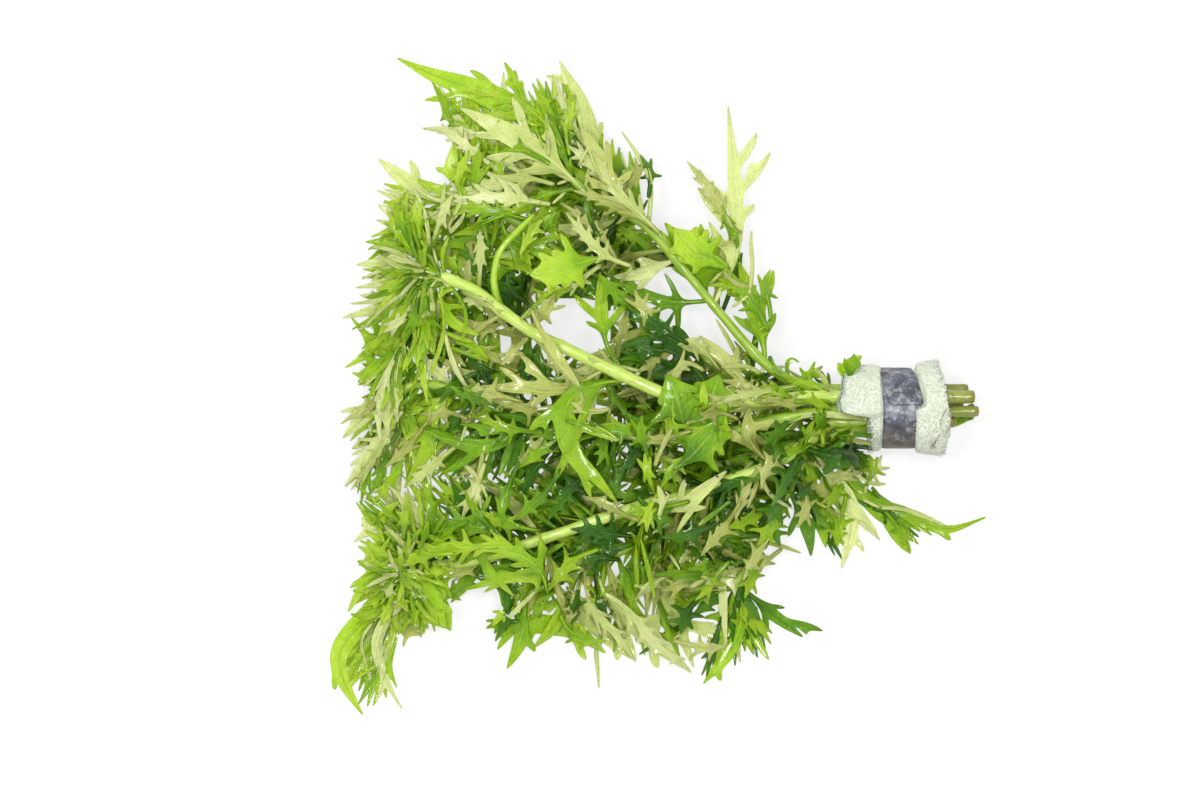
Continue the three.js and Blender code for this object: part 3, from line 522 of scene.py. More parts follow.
def grow_lobe(piece, edge, tip, width, ahead_vertex, steps):
    """A lobe out of a side edge to its tip. Returns what it added."""
    root = (edge.verts[0].co + edge.verts[1].co) / 2
    back = next(v for v in edge.verts if v is not ahead_vertex)
    front = ahead_vertex
    way = tip - root
    bow = root + way * 0.5 - (front.co - back.co).normalized() * way.length * LOBE_BOW
    path = Path([root, bow, tip])
    faces, corners, mark = [], [], {}
    for step, (share, part) in enumerate(steps):
        edge, pairs, face = pull(piece, edge)
        old_front, old_back = front, back
        front, back = pairs[front], pairs[back]
        across = leftward(path.way(share))
        if across.dot(old_front.co - old_back.co) < 0:
            across = -across
        front.co = path.at(share) + across * width / 2 * part
        back.co = path.at(share) - across * width / 2 * part
        travelled = path.length * share / MM
        mark[front], mark[back] = (travelled, 1.0), (travelled, -1.0)
        faces.append(face)
        corners += [front, back]
        toothed = step == 1 and steps is LOBE_STEPS and path.length > TOOTHED_FROM
        if toothed and chance.random() < TOOTH_CHANCE:
            tooth_side = chance.choice(((old_front, front), (old_back, back)))
            side_edge = next(e for e in tooth_side[0].link_edges if tooth_side[1] in e.verts)
            grow_tooth(piece, side_edge, tooth_side, root, path, corners, faces, mark)
    layer = piece.loops.layers.uv["blade"]
    for face in faces:
        for loop in face.loops:
            at_root = (0.0, 1.0 if loop.vert is ahead_vertex else -1.0)
            loop[layer].uv = mark.get(loop.vert, at_root)
    return faces, corners


def grow_tooth(piece, edge, side, root, path, corners, faces, mark):
    """A small point out of a lobe's side, leaning to the lobe's tip"""
    low, high = side
    middle = (low.co + high.co) / 2
    outward = (middle - path.at(0.45)).normalized()
    _, pairs, face = pull(piece, edge)
    tip = middle + outward * path.length * 0.16 + (path.at(1) - root) * 0.2
    for old in (low, high):
        new = pairs[old]
        new.co = tip + (old.co - middle) * 0.12
        mark[new] = (path.length / MM, 0.9)
        corners.append(new)
    mark.setdefault(low, (0.0, 1.0))
    mark.setdefault(high, (path.length / MM * 0.5, 1.0))
    faces.append(face)


print("lean of a lobe, degrees:", round(math.degrees(LOBE_LEAN)))

# %% [markdown]
# The strip itself starts as a grid, with a row of squares for every few millimetres. Its corners are carried
# to the midrib's path and spread to the blade's half width. Each lobe then looks for the free edge from
# which its tip lies ahead at the usual lean, so that no two lobes share a root. A net-like leaf has a wider
# grid, from which single squares are left out.


# %% Grow a leaf cage
def leaf_cage(piece, spine, width, lobes, tone=0.0, petiole=None, across=2, slots=(), small=False):
    """A flat leaf cage along a spine of places. lobes are (tip, width). Returns its vertices and faces."""
    path = Path([flat(p) for p in spine])
    if petiole is None:
        petiole = min(PETIOLE_SHARE, PETIOLE / path.length)
    rows = max(5, round(path.length / (SMALL_ROW_LENGTH if small else ROW_LENGTH)))
    steps = SMALL_LOBE_STEPS if small else LOBE_STEPS
    half = blade_half(width, petiole)
    grid = bmesh.ops.create_grid(piece, x_segments=rows, y_segments=across, size=1)["verts"]
    faces = list({f for v in grid for f in v.link_faces})
    cell, mark = {}, {}
    for vertex in grid:
        i = round((vertex.co.x + 1) / 2 * rows)
        j = round((vertex.co.y + 1) * across / 2)
        cell[i, j] = vertex
        share = i / rows
        sideways = 2 * j / across - 1
        mark[vertex] = (share * path.length / MM, sideways)
        vertex.co = path.at(share) + leftward(path.way(share)) * half(share) * sideways
    mark_faces(piece, faces, mark)
    corners = list(grid)
    taken = set()
    first_row = math.ceil(petiole * rows * 0.8)
    for tip, lobe_width in lobes:
        root = best_root(path, flat(tip), first_row / rows)
        way = flat(tip) - path.at(root)
        left = leftward(path.way(root)).dot(way) > 0
        wanted = root * rows - 0.5
        free = [i for i in range(first_row, rows - 1) if (i, left) not in taken]
        if not free:
            continue
        i = min(free, key=lambda row: abs(row - wanted))
        taken.add((i, left))
        j = across if left else 0
        low, high = cell[i, j], cell[i + 1, j]
        edge = next(e for e in low.link_edges if high in e.verts)
        new_faces, new_corners = grow_lobe(piece, edge, flat(tip), lobe_width, high, steps)
        faces += new_faces
        corners += new_corners
    total = path.length

    def along(vertex):
        found = min(range(0, 11), key=lambda k: (path.at(k / 10) - flat(vertex.co)).length)
        off = (path.at(found / 10) - flat(vertex.co)).length
        return min(1.0, found / 10 * 0.8 + off / total * 0.9)
    note(piece, corners, along, tone)
    if slots:
        holes = [f for f in faces if any(
            {cell[i, j], cell[i + 1, j + 1]} <= set(f.verts) for i, j in slots if (i + 1, j + 1) in cell)]
        faces = [f for f in faces if f not in holes]
        bmesh.ops.delete(piece, geom=holes, context="FACES")
        corners = [v for v in corners if v.is_valid]
    return path, corners, faces


def best_root(path, tip, first):
    """The share of the spine from which the tip lies about LOBE_LEAN ahead"""
    best, least = first, 9.0
    for step in range(31):
        share = first + (LAST_ROOT - first) * step / 30
        way = tip - path.at(share)
        miss = abs(path.way(share).angle(way, 0) - LOBE_LEAN)
        if miss < least:
            best, least = share, miss
    return best


print("rows in a leaf of 40 mm:", round(40 * MM / ROW_LENGTH))

# %% [markdown]
# A blade is thin, but it has an edge, and its underside is paler than its upper face. So the cage is copied
# a little lower, with a rim between, and the copy gets the material of undersides. The function below it
# finishes every piece of this file: it makes the object, rounds it, and says which body of the model it
# rides on and which colour slot it has.


# %% Thickness, and a finished piece
def thicken(piece, faces, tint_index, under_index):
    """Give a cage its thickness, with the underside in its own material"""
    for face in faces:
        face.material_index = tint_index
    grown = bmesh.ops.extrude_face_region(
        piece, geom=faces, use_keep_orig=True, use_select_history=False)["geom"]
    lower = [g for g in grown if isinstance(g, bmesh.types.BMFace)]
    sunk = [g for g in grown if isinstance(g, bmesh.types.BMVert)]
    for vertex in sunk:
        vertex.co.z -= BLADE
    for face in lower:
        face.material_index = under_index
    bmesh.ops.reverse_faces(piece, faces=lower)
    rim = {f for v in sunk for f in v.link_faces} - set(lower)
    bmesh.ops.recalc_face_normals(piece, faces=list(rim) + lower + list(faces))
    for face in rim:
        face.material_index = tint_index


def finish_piece(piece, name, materials, levels):
    mesh = bpy.data.meshes.new(name)
    piece.to_mesh(mesh)
    piece.free()
    for material in materials:
        mesh.materials.append(material)
    for polygon in mesh.polygons:
        polygon.use_smooth = True
    made = bpy.data.objects.new(name, mesh)
    bpy.context.scene.collection.objects.link(made)
    if levels:
        rounding = made.modifiers.new("rounded", "SUBSURF")
        rounding.levels = levels
        rounding.render_levels = levels
    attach(made, "root")
    return made


def triangles(made):
    """How many triangles a piece has before it is rounded"""
    return sum(len(polygon.vertices) - 2 for polygon in made.data.polygons)


print("thickness of a blade, mm:", round(BLADE / MM, 2))

# %% [markdown]
# A leaf stalk and the midrib that continues it are one tapering rod. The same helper makes the main stems:
# a cylinder is cut into rings, and each ring is carried to its place on the path. How thick it is there,
# and whether it is round, comes from a function of the share along and the angle around.

# %% A rod along a path
ROD_SIDES = 6


def join(piece, part):
    """Add a finished part to a piece, with its facts"""
    carrier = bpy.data.meshes.new("carrier")
    part.to_mesh(carrier)
    part.free()
    piece.from_mesh(carrier)
    bpy.data.meshes.remove(carrier)


def rod(piece, path, radius, sides=ROD_SIDES, spacing=5 * MM, tone=0.0, along=0.3, index=0, cap_index=0):
    """A closed rod along a path. radius gives its thickness for a share of the length and a turn."""
    rings = max(2, round(path.length / spacing))
    part = new_piece()
    bmesh.ops.create_cone(part, cap_ends=True, segments=sides, radius1=1, radius2=1, depth=2)
    long_edges = [e for e in part.edges if abs(e.verts[0].co.z - e.verts[1].co.z) > 1]
    bmesh.ops.subdivide_edges(part, edges=long_edges, cuts=rings - 1)
    frames, mark = {}, {}
    for vertex in part.verts:
        share = (vertex.co.z + 1) / 2
        turn = math.atan2(vertex.co.y, vertex.co.x)
        key = round(share * rings)
        if key not in frames:
            way = path.way(share)
            across = leftward(way)
            frames[key] = path.at(share), across, across.cross(way)
        middle, across, upward = frames[key]
        here = radius(share, turn)
        vertex.co = middle + across * here * math.cos(turn) + upward * here * math.sin(turn)
        mark[vertex] = (share * path.length / MM, 0.5 + 0.5 * math.sin(turn))
    bmesh.ops.recalc_face_normals(part, faces=part.faces)
    mark_faces(part, part.faces, mark)
    note(part, part.verts, along, tone)
    for face in part.faces:
        face.material_index = cap_index if len(face.verts) > 4 else index
    join(piece, part)


print("sides of a plain rod:", ROD_SIDES)

# %% [markdown]
# Seven stems run out of the wrap. The picture shows the upper, middle and lower ones plainly, and the others
# through gaps. Each has a place in the bundle, as [across, up] in pitches of the hexagon in which round rods
# pack, and a path of (column, row, height in mm) to its tip. A real wisteria stem is nearly round and a
# little four-sided, swells at each node, and bears its leaves there in pairs.

# %% Stem paths
PITCH, BUNDLE_ROW, BUNDLE_HEIGHT = 4.8, 404, 14.2
FOAM_RIGHT = 950
ROW_UP = math.sqrt(3) / 2
# name: (slot, column of the cut end, radius in mm, nodes, first and last node's share, leaf length, path)
STEMS = {
    "stem_upper": (
        (1, 0), 967, 1.9, (6, 0.34, 0.98, 25),
        ((812, 388, 15), (788, 380, 16.5), (762, 362, 18), (711, 304, 19), (675, 261, 19.5),
         (645, 228, 19.5), (623, 214, 19), (590, 197, 18), (572, 180, 17))),
    "stem_middle": (
        (0.5, ROW_UP), 973, 2.25, (7, 0.3, 0.98, 27),
        ((800, 398, 20.5), (760, 400, 23.5), (700, 400, 26.5), (665, 394, 28), (630, 379, 29),
         (566, 349, 30), (535, 334, 29.5), (503, 312, 28), (477, 292, 26), (442, 277, 23))),
    "stem_lower": (
        (-1.2, 0), 955, 2.1, (7, 0.36, 0.98, 26),
        ((806, 442, 16), (768, 466, 16), (733, 478, 15.5), (687, 495, 16), (641, 505, 17),
         (605, 517, 17), (531, 542, 15), (476, 560, 11), (420, 566, 7.5))),
    "stem_back": (
        (0, 0), 962, 1.9, (6, 0.42, 0.98, 28),
        ((790, 402, 12.5), (735, 380, 12), (650, 318, 13), (560, 252, 14.5), (500, 214, 14),
         (445, 202, 12))),
    "stem_inner": (
        (-0.5, ROW_UP), 977, 1.9, (8, 0.34, 0.98, 28),
        ((800, 414, 20.5), (760, 424, 21), (700, 438, 21), (600, 430, 20), (500, 402, 17),
         (420, 384, 13), (392, 396, 11))),
    "stem_low_left": (
        (0.5, -ROW_UP), 958, 1.9, (6, 0.42, 0.97, 24),
        ((806, 412, 8.5), (772, 442, 7.5), (736, 476, 7), (640, 540, 7), (560, 580, 6),
         (512, 598, 5))),
    "stem_low_right": (
        (-0.5, -ROW_UP), 952, 1.9, (4, 0.5, 0.95, 20),
        ((815, 436, 8.5), (793, 478, 7), (762, 540, 5.5), (734, 588, 4))),
}


def stem_path(name):
    slot, cut_at, _, _, free = STEMS[name]
    row = BUNDLE_ROW - slot[0] * PITCH * MM / PIXEL
    up = BUNDLE_HEIGHT + slot[1] * PITCH
    held = [spot(column, row, up) for column in (cut_at, FOAM_RIGHT, FOAM_LEFT, FOAM_LEFT - 8)]
    return Path(held + [spot(*place) for place in free], 10)


paths = {name: stem_path(name) for name in STEMS}
print("stem lengths, mm:", {name: round(path.length / MM) for name, path in paths.items()})

# %% [markdown]
# Stem skin: yellow-green, with fine lengthwise streaks, a little light that goes into it and rusty
# flecks near the cut. Streaks follow the stem through its UV. The cut ends are a material of their own:
# a dry grain of brown and paler olive.

# %% Stem materials
STEM_COLOURS = {
    "pale": (paint(132, 164, 52), paint(170, 194, 82), paint(206, 216, 140)),
    "green": (paint(92, 128, 26), paint(132, 164, 38), paint(170, 194, 72)),
}
OLD_FOR = 16.0  # mm from the cut over which the skin has withered


def stem_material(kind):
    deep, fresh, light = STEM_COLOURS[kind]
    material, tree, skin = new_material(f"stem {kind}")
    place = object_place(tree)
    streak = noise_of(tree, drawn_out(tree, 0.12, 9.0), 1.6, 4.0, 0.6)
    cloud = noise_of(tree, place, 70.0, 3.0)
    colour = ramp(tree, streak, (0.3, deep), (0.52, fresh), (0.78, light))
    colour = blend(tree, times(tree, cloud, 0.45), colour, fresh)
    colour = blend(tree, times(tree, attribute(tree, "along"), 0.55), colour, deep)
    from_cut = add(tree, "ShaderNodeSeparateXYZ", Vector=blade_uv(tree)).outputs[0]
    old = maths(tree, "SUBTRACT", 1.0, maths(tree, "DIVIDE", from_cut, OLD_FOR), clamp=True)
    withered = maths(tree, "MULTIPLY", old, maths(tree, "ADD", streak, 0.5), clamp=True)
    colour = blend(tree, withered, colour, paint(112, 106, 34))
    rust = mask(tree, noise_of(tree, place, 300.0, 4.0, 0.7), 0.6, 0.7)
    rust = times(tree, rust, maths(tree, "MULTIPLY_ADD", old, 0.6, 0.25))
    colour = blend(tree, rust, colour, paint(128, 92, 40))
    film = place_group(tree, wet_film, Patch=160.0)
    relief = maths(tree, "ADD", streak, times(tree, film["Height"], 0.4))
    dress(tree, skin, Base_Color=colour, Normal=bump_of(tree, relief, 0.35, 0.0003),
          Roughness=maths(tree, "MULTIPLY_ADD", film["Wet"], -0.15, 0.4),
          Coat_Weight=times(tree, film["Wet"], 0.6), Coat_Roughness=0.08,
          Subsurface_Weight=0.12, Subsurface_Radius=(0.001, 0.0012, 0.0004))
    return material


def cut_material():
    material, tree, skin = new_material("stem cut")
    grain = noise_of(tree, object_place(tree), 1400.0, 4.0, 0.7)
    colour = ramp(tree, grain, (0.3, paint(96, 84, 30)), (0.5, paint(150, 146, 62)),
                  (0.72, paint(196, 196, 120)))
    dress(tree, skin, Base_Color=colour, Normal=bump_of(tree, grain, 0.6, 0.0004), Roughness=0.55)
    return material


stem_materials = {kind: stem_material(kind) for kind in STEM_COLOURS}
stem_cut = cut_material()
print("stem materials:", ", ".join(stem_materials), "and the cut")

# %% [markdown]
# A stem that stands for its solid carries the small leaves that are fused to that solid. They grow in pairs,
# one to each side, from the same nodes and by the same rule as there: a lean of about 54 degrees that
# wavers from node to node. Where the solid left one out for want of room, its place stays empty here too,
# which is told by how near the solid's own surface comes to the blade's tip.

# %% Side leaves of a stem
SIDE_LEAN, SIDE_WAVER = math.radians(54), math.radians(16)
SIDE_WIDTH, SIDE_LOBE = 15 * PIXEL, 8 * PIXEL


def side_leaf(name, node, sign):
    """Root, tip direction and lobes of one side leaf, as places"""
    count, first, last, length = STEMS[name][3]
    share = first + (last - first) * node / (count - 1)
    path = paths[name]
    waver = math.sin(2.4 * node + sign)
    way = flat(path.way(share)).normalized()
    way.rotate(Matrix.Rotation((SIDE_LEAN + SIDE_WAVER * waver) * sign, 3, "Z"))
    reach = length * MM * (1 + 0.25 * math.cos(1.7 * node - sign))
    root = path.at(share)
    across = leftward(way)

    def reached(part, sideways):
        return flat(root) + way * reach * part + across * reach * sideways
    spine = [reached(0, 0), reached(0.35, 0.03 * sign), reached(0.7, 0.02 * sign), reached(1, -0.08 * sign)]
    lobes = [(reached(0.72, 0.24), SIDE_LOBE), (reached(0.62, -0.26), SIDE_LOBE)]
    return spine, lobes, root.z


print("places for side leaves:", sum(2 * facts[3][0] for facts in STEMS.values()))

# %% [markdown]
# A grown cage is still flat. It is draped: each corner takes its height from a function, which may be a solid
# leaf's face or the top of the pile, and a noise wrinkles it a little. Near its root it bends to the stalk.
# Then it gets its thickness, and a tapering rod along its middle as stalk and midrib.

# %% Drape a leaf and give it a rib
NEAR_ROOT = 6 * MM  # over this length a blade bends to its stalk
TABLE_GAP = 0.7 * MM  # no midrib lies lower


def drape(corners, height_of, root=None, ripple=0.5):
    """Lay flat corners on a surface. Near the root they bend to the height of the stalk."""
    seed = Vector((chance.uniform(0, 9), chance.uniform(0, 9), 0))
    for corner in corners:
        z = height_of(flat(corner.co))
        wrinkle = noise.noise(flat(corner.co) * 130 + seed) * ripple * MM
        corner.co.z = max(BLADE + 0.1 * MM, z + wrinkle)
    if root is not None:
        for corner in corners:
            near = max(0, 1 - (flat(corner.co) - flat(root)).length / NEAR_ROOT)
            corner.co.z += (root.z - corner.co.z) * near * near


def rib(piece, path, heights, root, tone, thick=0.75, sink=0.35, index=0, small=False):
    """A tapering stalk and midrib from its root on the stem to near the blade's tip"""
    places = [root]
    for share in (0.1, 0.35, 0.65, 0.93) if small else (0.08, 0.2, 0.35, 0.5, 0.65, 0.8, 0.93):
        place = path.at(share)
        if (flat(place) - flat(root)).length > 1.5 * MM:
            places.append(Vector((place.x, place.y, max(TABLE_GAP, heights(place) - sink * MM))))
    line = Path(places, 4)
    sides, spacing = (3, 9 * MM) if small else (5, 5 * MM)
    rod(piece, line, lambda share, turn: thick * MM * (1 - 0.82 * share), sides, spacing, tone, 0.55, index,
        index)


def grow_leaf(piece, spine, width, lobes, lay, index, under, tone=0.0, root=None, ripple=0.5,
              stalk=0.75, petiole=None, across=2, slots=(), small=False):
    """A whole leaf: its cage laid by a height function, its thickness, and its stalk and midrib"""
    leaf = new_piece()
    path, corners, faces = leaf_cage(leaf, spine, width, lobes, tone, petiole, across, slots, small)
    drape(corners, lay, root, ripple)
    thicken(leaf, faces, index, under)
    join(piece, leaf)
    start = root if root is not None else Vector((*path.at(0).xy, lay(path.at(0))))
    rib(piece, path, lay, start, tone, stalk, index=index, small=small)


print("lowest place of a midrib, mm:", round(TABLE_GAP / MM, 2))

# %% [markdown]
# A stem swells at its nodes, tapers to its tip and isn't quite round. All of that is one function of the
# place along it and the turn around it, which the rod asks for each corner.

# %% Stems with their leaves
STEM_TINT = {"stem_upper": "green", "stem_middle": "pale", "stem_lower": "pale", "stem_back": "green",
             "stem_inner": "green", "stem_low_left": "green", "stem_low_right": "green"}
SIDE_TINTS = {
    "stem_upper": ("bright", "pale", "green"), "stem_middle": ("green", "bright", "olive"),
    "stem_lower": ("green", "olive", "dark"), "stem_back": ("bright", "pale", "green"),
    "stem_inner": ("dark", "green", "olive"), "stem_low_left": ("green", "bright", "green"),
    "stem_low_right": ("dark", "green", "olive"),
}
tint_order = list(TINTS)
leaf_slots = [leaf_materials[tint] for tint in tint_order]
UNDER = tint_order.index("under")
KNOT, BELOW_FIRST = 1.6 * MM, (0.13, 0.25)  # a swelling's length, and two bare nodes below the first pair
SLIMMER = {"stem_upper": 0.16}  # this stem is slimmer than its solid towards the tip


def stem_radius(name):
    """A stem's radius as a function of share and turn, and the shares of its swellings"""
    radius, (count, first, last, _) = STEMS[name][2], STEMS[name][3]
    length = paths[name].length
    knots = [first + (last - first) * node / (count - 1) for node in range(count)]
    knots = [first - back for back in BELOW_FIRST] + knots

    def here(share, turn):
        swell = sum(math.exp(-(((share - knot) * length) / KNOT) ** 2) for knot in knots)
        taper = 1 - 0.28 * max(0, share - 0.35) - SLIMMER.get(name, 0) * smooth((share - 0.3) / 0.3)
        square = 1 + 0.035 * math.cos(4 * turn)
        lump = 1 + 0.03 * noise.noise(Vector((share * length * 60, math.cos(turn), radius)))
        return radius * MM * taper * square * lump * (1 + 0.17 * swell)
    return here, knots


def make_stem(name):
    """A stem with its own small leaves. Returns how many it bears."""
    piece = new_piece()
    radius, knots = stem_radius(name)
    path = paths[name]

    def at_knot(corner):
        near = min((flat(path.at(knot)) - flat(corner.co)).length for knot in knots)
        return max(0.0, 1 - near / (1.5 * MM)) * 0.9
    rod(piece, path, radius, 12, 2 * MM, 0.0, at_knot, len(tint_order), len(tint_order) + 1)
    surface = upper_face(name)
    grown = 0
    for node in range(STEMS[name][3][0]):
        for sign in (1, -1):
            spine, lobes, root_z = side_leaf(name, node, sign)
            if surface(spine[-1].lerp(spine[-2], 0.15))[1] > 1.2 * MM:
                continue
            tint = tint_order.index(chance.choice(SIDE_TINTS[name]))
            root = Vector((spine[0].x, spine[0].y, root_z))
            grow_leaf(piece, spine, SIDE_WIDTH, lobes, lambda place: surface(place)[0], tint, UNDER,
                      chance.uniform(-1, 1), root, petiole=0.24)
            grown += 1
    made = finish_piece(piece, name.replace("stem", "grown_stem"),
                        leaf_slots + [stem_materials[STEM_TINT[name]], stem_cut], 1)
    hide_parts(name)
    return grown


print("side leaves:", {name: make_stem(name) for name in STEMS})
# %% [markdown]
# The fifty largest leaves, each measured in the picture. A row gives its name, the stem it grows on, its
# tint, the greatest width of its blade, its midrib from stem to tip as pixels, and its lobes' tips as
# column, row and width. Each blade is grown flat, laid on its solid, and given its stalk and midrib. The
# solid stays hidden behind it for the simulation.

# %% The fifty largest leaves
# name, stem, tint, width | midrib | lobes. A long row goes on in the next line, after two spaces.
LEAVES = """
right_far lower green 15 | 828,434 842,470 868,502 905,513 945,530 986,517 |
  911,554,12 886,524,6 951,540,7
right_pale low_right pale 19 | 812,446 832,478 850,505 850,535 841,569 | 878,538,8 864,552,7 830,540,6
right_bright low_right bright 17 | 797,472 808,488 818,510 826,548 | 796,512,7 838,524,6
foot_right low_right dark 13 | 737,585 752,596 775,616 803,637 | 823,631,8 768,632,7 785,608,5
foot_spread low_right bright 16 | 736,592 742,612 733,645 703,684 | 703,618,9 769,660,9 720,681,7
foot_grey low_left pale 18 | 640,545 662,588 680,630 694,668 | 728,645,12 656,640,9 707,602,9
foot_wide low_left pale 22 | 590,568 604,592 640,628 692,673 | 676,622,14 658,668,11 636,662,11 648,594,10
foot_slim low_left pale 18 | 556,584 576,604 604,634 635,660 | 618,660,8 585,630,6
foot_bright low_left bright 22 | 517,598 512,612 538,623 570,628 606,653 | 497,650,9 586,660,9 530,642,7
corner_end lower bright 22 | 412,572 386,597 356,628 338,655 345,685 363,715 | 335,690,7 352,650,5
corner_pale lower pale 12 | 415,576 394,606 376,645 386,680 402,709 | 379,697,7 422,626,9
corner_left lower bright 13 | 410,566 385,572 366,583 348,612 | 350,588,7 357,561,7 382,604,6
side_slim lower pale 14 | 418,556 400,538 376,528 354,542 | 362,517,8 381,547,6 398,500,8
corner_point lower bright 24 | 420,572 428,590 440,608 451,631 | 424,634,10 462,600,7
low_hanging low_left dark 24 | 640,542 618,548 594,546 560,528 | 585,577,11 580,515,11 612,520,9 562,556,9
low_streak low_right pale 13 | 762,540 735,540 720,560 722,600 726,644 | 708,600,6 737,612,6
side_feather inner olive 16 | 398,396 390,426 370,458 345,487 | 352,449,8 392,466,8 381,492,8
side_pale inner pale 13 | 392,392 372,402 360,420 343,438 | 341,412,6 372,436,6
side_drop inner green 16 | 425,386 436,412 428,448 405,488 | 409,446,8 452,440,9 434,478,7
top_left back bright 15 | 470,206 462,190 452,170 456,141 | 436,168,7 476,162,8
top_fork back pale 17 | 452,202 431,199 405,180 378,159 | 410,160,9 392,194,7
top_grey back pale 19 | 448,210 430,218 408,219 378,205 | 376,190,7 386,224,7
edge_high back bright 15 | 450,214 432,232 405,240 365,242 | 390,226,6 386,255,6
edge_low middle pale 14 | 444,277 420,268 395,262 356,265 | 382,252,6 372,282,8
edge_reach middle pale 14 | 448,284 424,296 390,306 342,318 | 360,295,7 372,325,7 398,288,7
edge_bright middle bright 15 | 452,288 430,312 400,336 345,368 | 366,340,8 377,368,8 410,350,7
crown_pale upper pale 16 | 574,184 540,165 500,140 421,128 | 450,112,8 462,150,8
crown_long upper bright 26 | 572,178 558,144 520,112 470,88 430,74 397,58 |
  504,62,9 470,70,8 424,100,8 448,118,9 541,95,9
crown_tip upper green 18 | 586,190 592,150 584,112 559,60 | 546,76,8 602,122,7
high_green upper bright 25 | 716,308 700,288 690,256 664,223 | 720,240,12 700,224,11 724,268,11 668,262,8
high_ladder upper pale 15 | 715,306 728,272 736,235 734,180 728,106 |
  757,133,10 771,152,9 686,161,9 697,188,9 754,205,9 708,222,9
inner_long upper green 13 | 708,303 672,303 640,294 600,270 | 664,274,6 676,336,7 636,318,7 622,262,6
high_broad upper bright 20 | 765,362 760,330 750,298 738,262 | 773,270,11 775,313,9 724,282,11 732,316,8
crown_wide upper pale 24 | 582,190 552,162 512,136 460,108 |
  512,97,11 486,158,11 474,134,9 545,120,9 518,172,9
brow_olive upper olive 17 | 625,212 612,188 598,158 580,128 | 606,142,8 632,172,9 584,178,7
inner_dark middle dark 34 | 712,396 694,368 662,350 612,348 | 640,322,14 672,326,12 636,374,12 666,380,12
inner_arch back green 15 | 503,216 506,238 530,246 560,262 601,264 |
  556,212,8 540,284,9 584,286,9 572,238,7
inner_upright middle green 14 | 628,380 606,345 602,312 600,272 | 574,295,9 628,300,9 586,322,6
inner_cream middle olive 15 | 758,398 734,372 716,352 698,336 | 678,345,9 736,346,7
inner_comb lower pale 14 | 655,503 668,512 695,495 726,470 | 684,478,7 706,506,7 676,532,7
inner_star lower dark 22 | 800,442 812,452 834,456 864,466 | 822,474,10 846,440,7
low_long lower bright 15 | 420,566 448,545 486,545 519,555 541,572 535,594 |
  463,590,9 484,592,9 515,596,9 470,526,7 500,532,7
low_fan lower green 14 | 508,548 490,530 465,524 429,533 | 476,495,9 492,494,8 450,505,7 455,541,6
mid_bone middle olive 14 | 606,366 568,388 530,388 477,387 |
  519,353,8 500,367,8 530,407,8 545,364,7 560,412,8
mid_great middle green 22 | 632,380 596,384 566,404 572,452 597,478 618,503 |
  619,441,12 530,430,12 549,490,11 592,497,7
mid_left inner green 15 | 520,408 510,438 478,446 425,430 | 444,473,9 500,476,9 460,424,7
inner_antler lower olive 14 | 768,466 752,446 745,430 748,407 | 774,419,8 726,428,8 778,446,7
mid_glossy inner bright 20 | 700,438 704,425 714,412 726,398 |
  702,382,10 729,430,10 718,456,9 672,424,9 676,388,9
tip_fold middle bright 13 | 448,279 440,300 452,322 481,336 | 430,326,7 466,308,6
tip_long middle bright 13 | 441,277 424,300 420,345 429,404 | 404,372,8 398,330,7 436,356,7
"""
LOOKS = {"crown_tip": "pale"}  # this leaf shows its pale side, unlike its solid's tint
PETIOLES = {"inner_upright": 0.42}  # this one has a long bare stalk, as a share of its midrib
# windows through the dark net-like leaf, as (row, column) of its cage
NET_SLOTS = {"inner_dark": ((3, 1), (3, 3), (5, 2), (6, 1), (6, 3), (8, 2))}


def numbers(places):
    """Places such as 828,434 as tuples of numbers"""
    return tuple(tuple(float(number) for number in place.split(",")) for place in places)


def nearest_share(path, place):
    return min((step / 80 for step in range(81)), key=lambda s: (flat(path.at(s)) - flat(place)).length)


def make_leaf(name, stem, tint, width, spine, lobes):
    piece = new_piece()
    node = f"leaf_{name}"
    surface = upper_face(node)
    places = [spot(*place) for place in spine]
    stem_line = paths[f"stem_{stem}"]
    share = nearest_share(stem_line, places[0])
    root = stem_line.at(share)
    tips = [(spot(column, row), size * PIXEL) for column, row, size in lobes]
    slots = NET_SLOTS.get(name, ())
    grow_leaf(piece, [flat(root)] + places[1:], width * PIXEL, tips, lambda place: surface(place)[0], 0, 1,
              chance.uniform(-0.8, 0.8), root, stalk=0.85, petiole=PETIOLES.get(name),
              across=4 if slots else 2, slots=slots)
    look = LOOKS.get(name, tint)
    made = finish_piece(piece, f"blade_{name}", [leaf_materials[look], leaf_materials["under"]],
                        2)
    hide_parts(node)


leaf_rows = LEAVES.replace("\n  ", " ").strip().splitlines()
for row in leaf_rows:
    facts, midrib, lobes = [part.split() for part in row.split("|")]
    name, stem, tint, width = facts
    make_leaf(name, stem, tint, float(width), numbers(midrib), numbers(lobes))
print("large leaves:", len(leaf_rows))

# %% [markdown]
# Between the large leaves the picture is full of smaller ones. Those that can be told apart are listed here
# by region: tint, level in the pile, the whole width with lobes, and the midrib as pixels. A narrow one
# stays a plain lance. A wider one gets its lobes in pairs, each leaning to the tip, with sizes that waver.

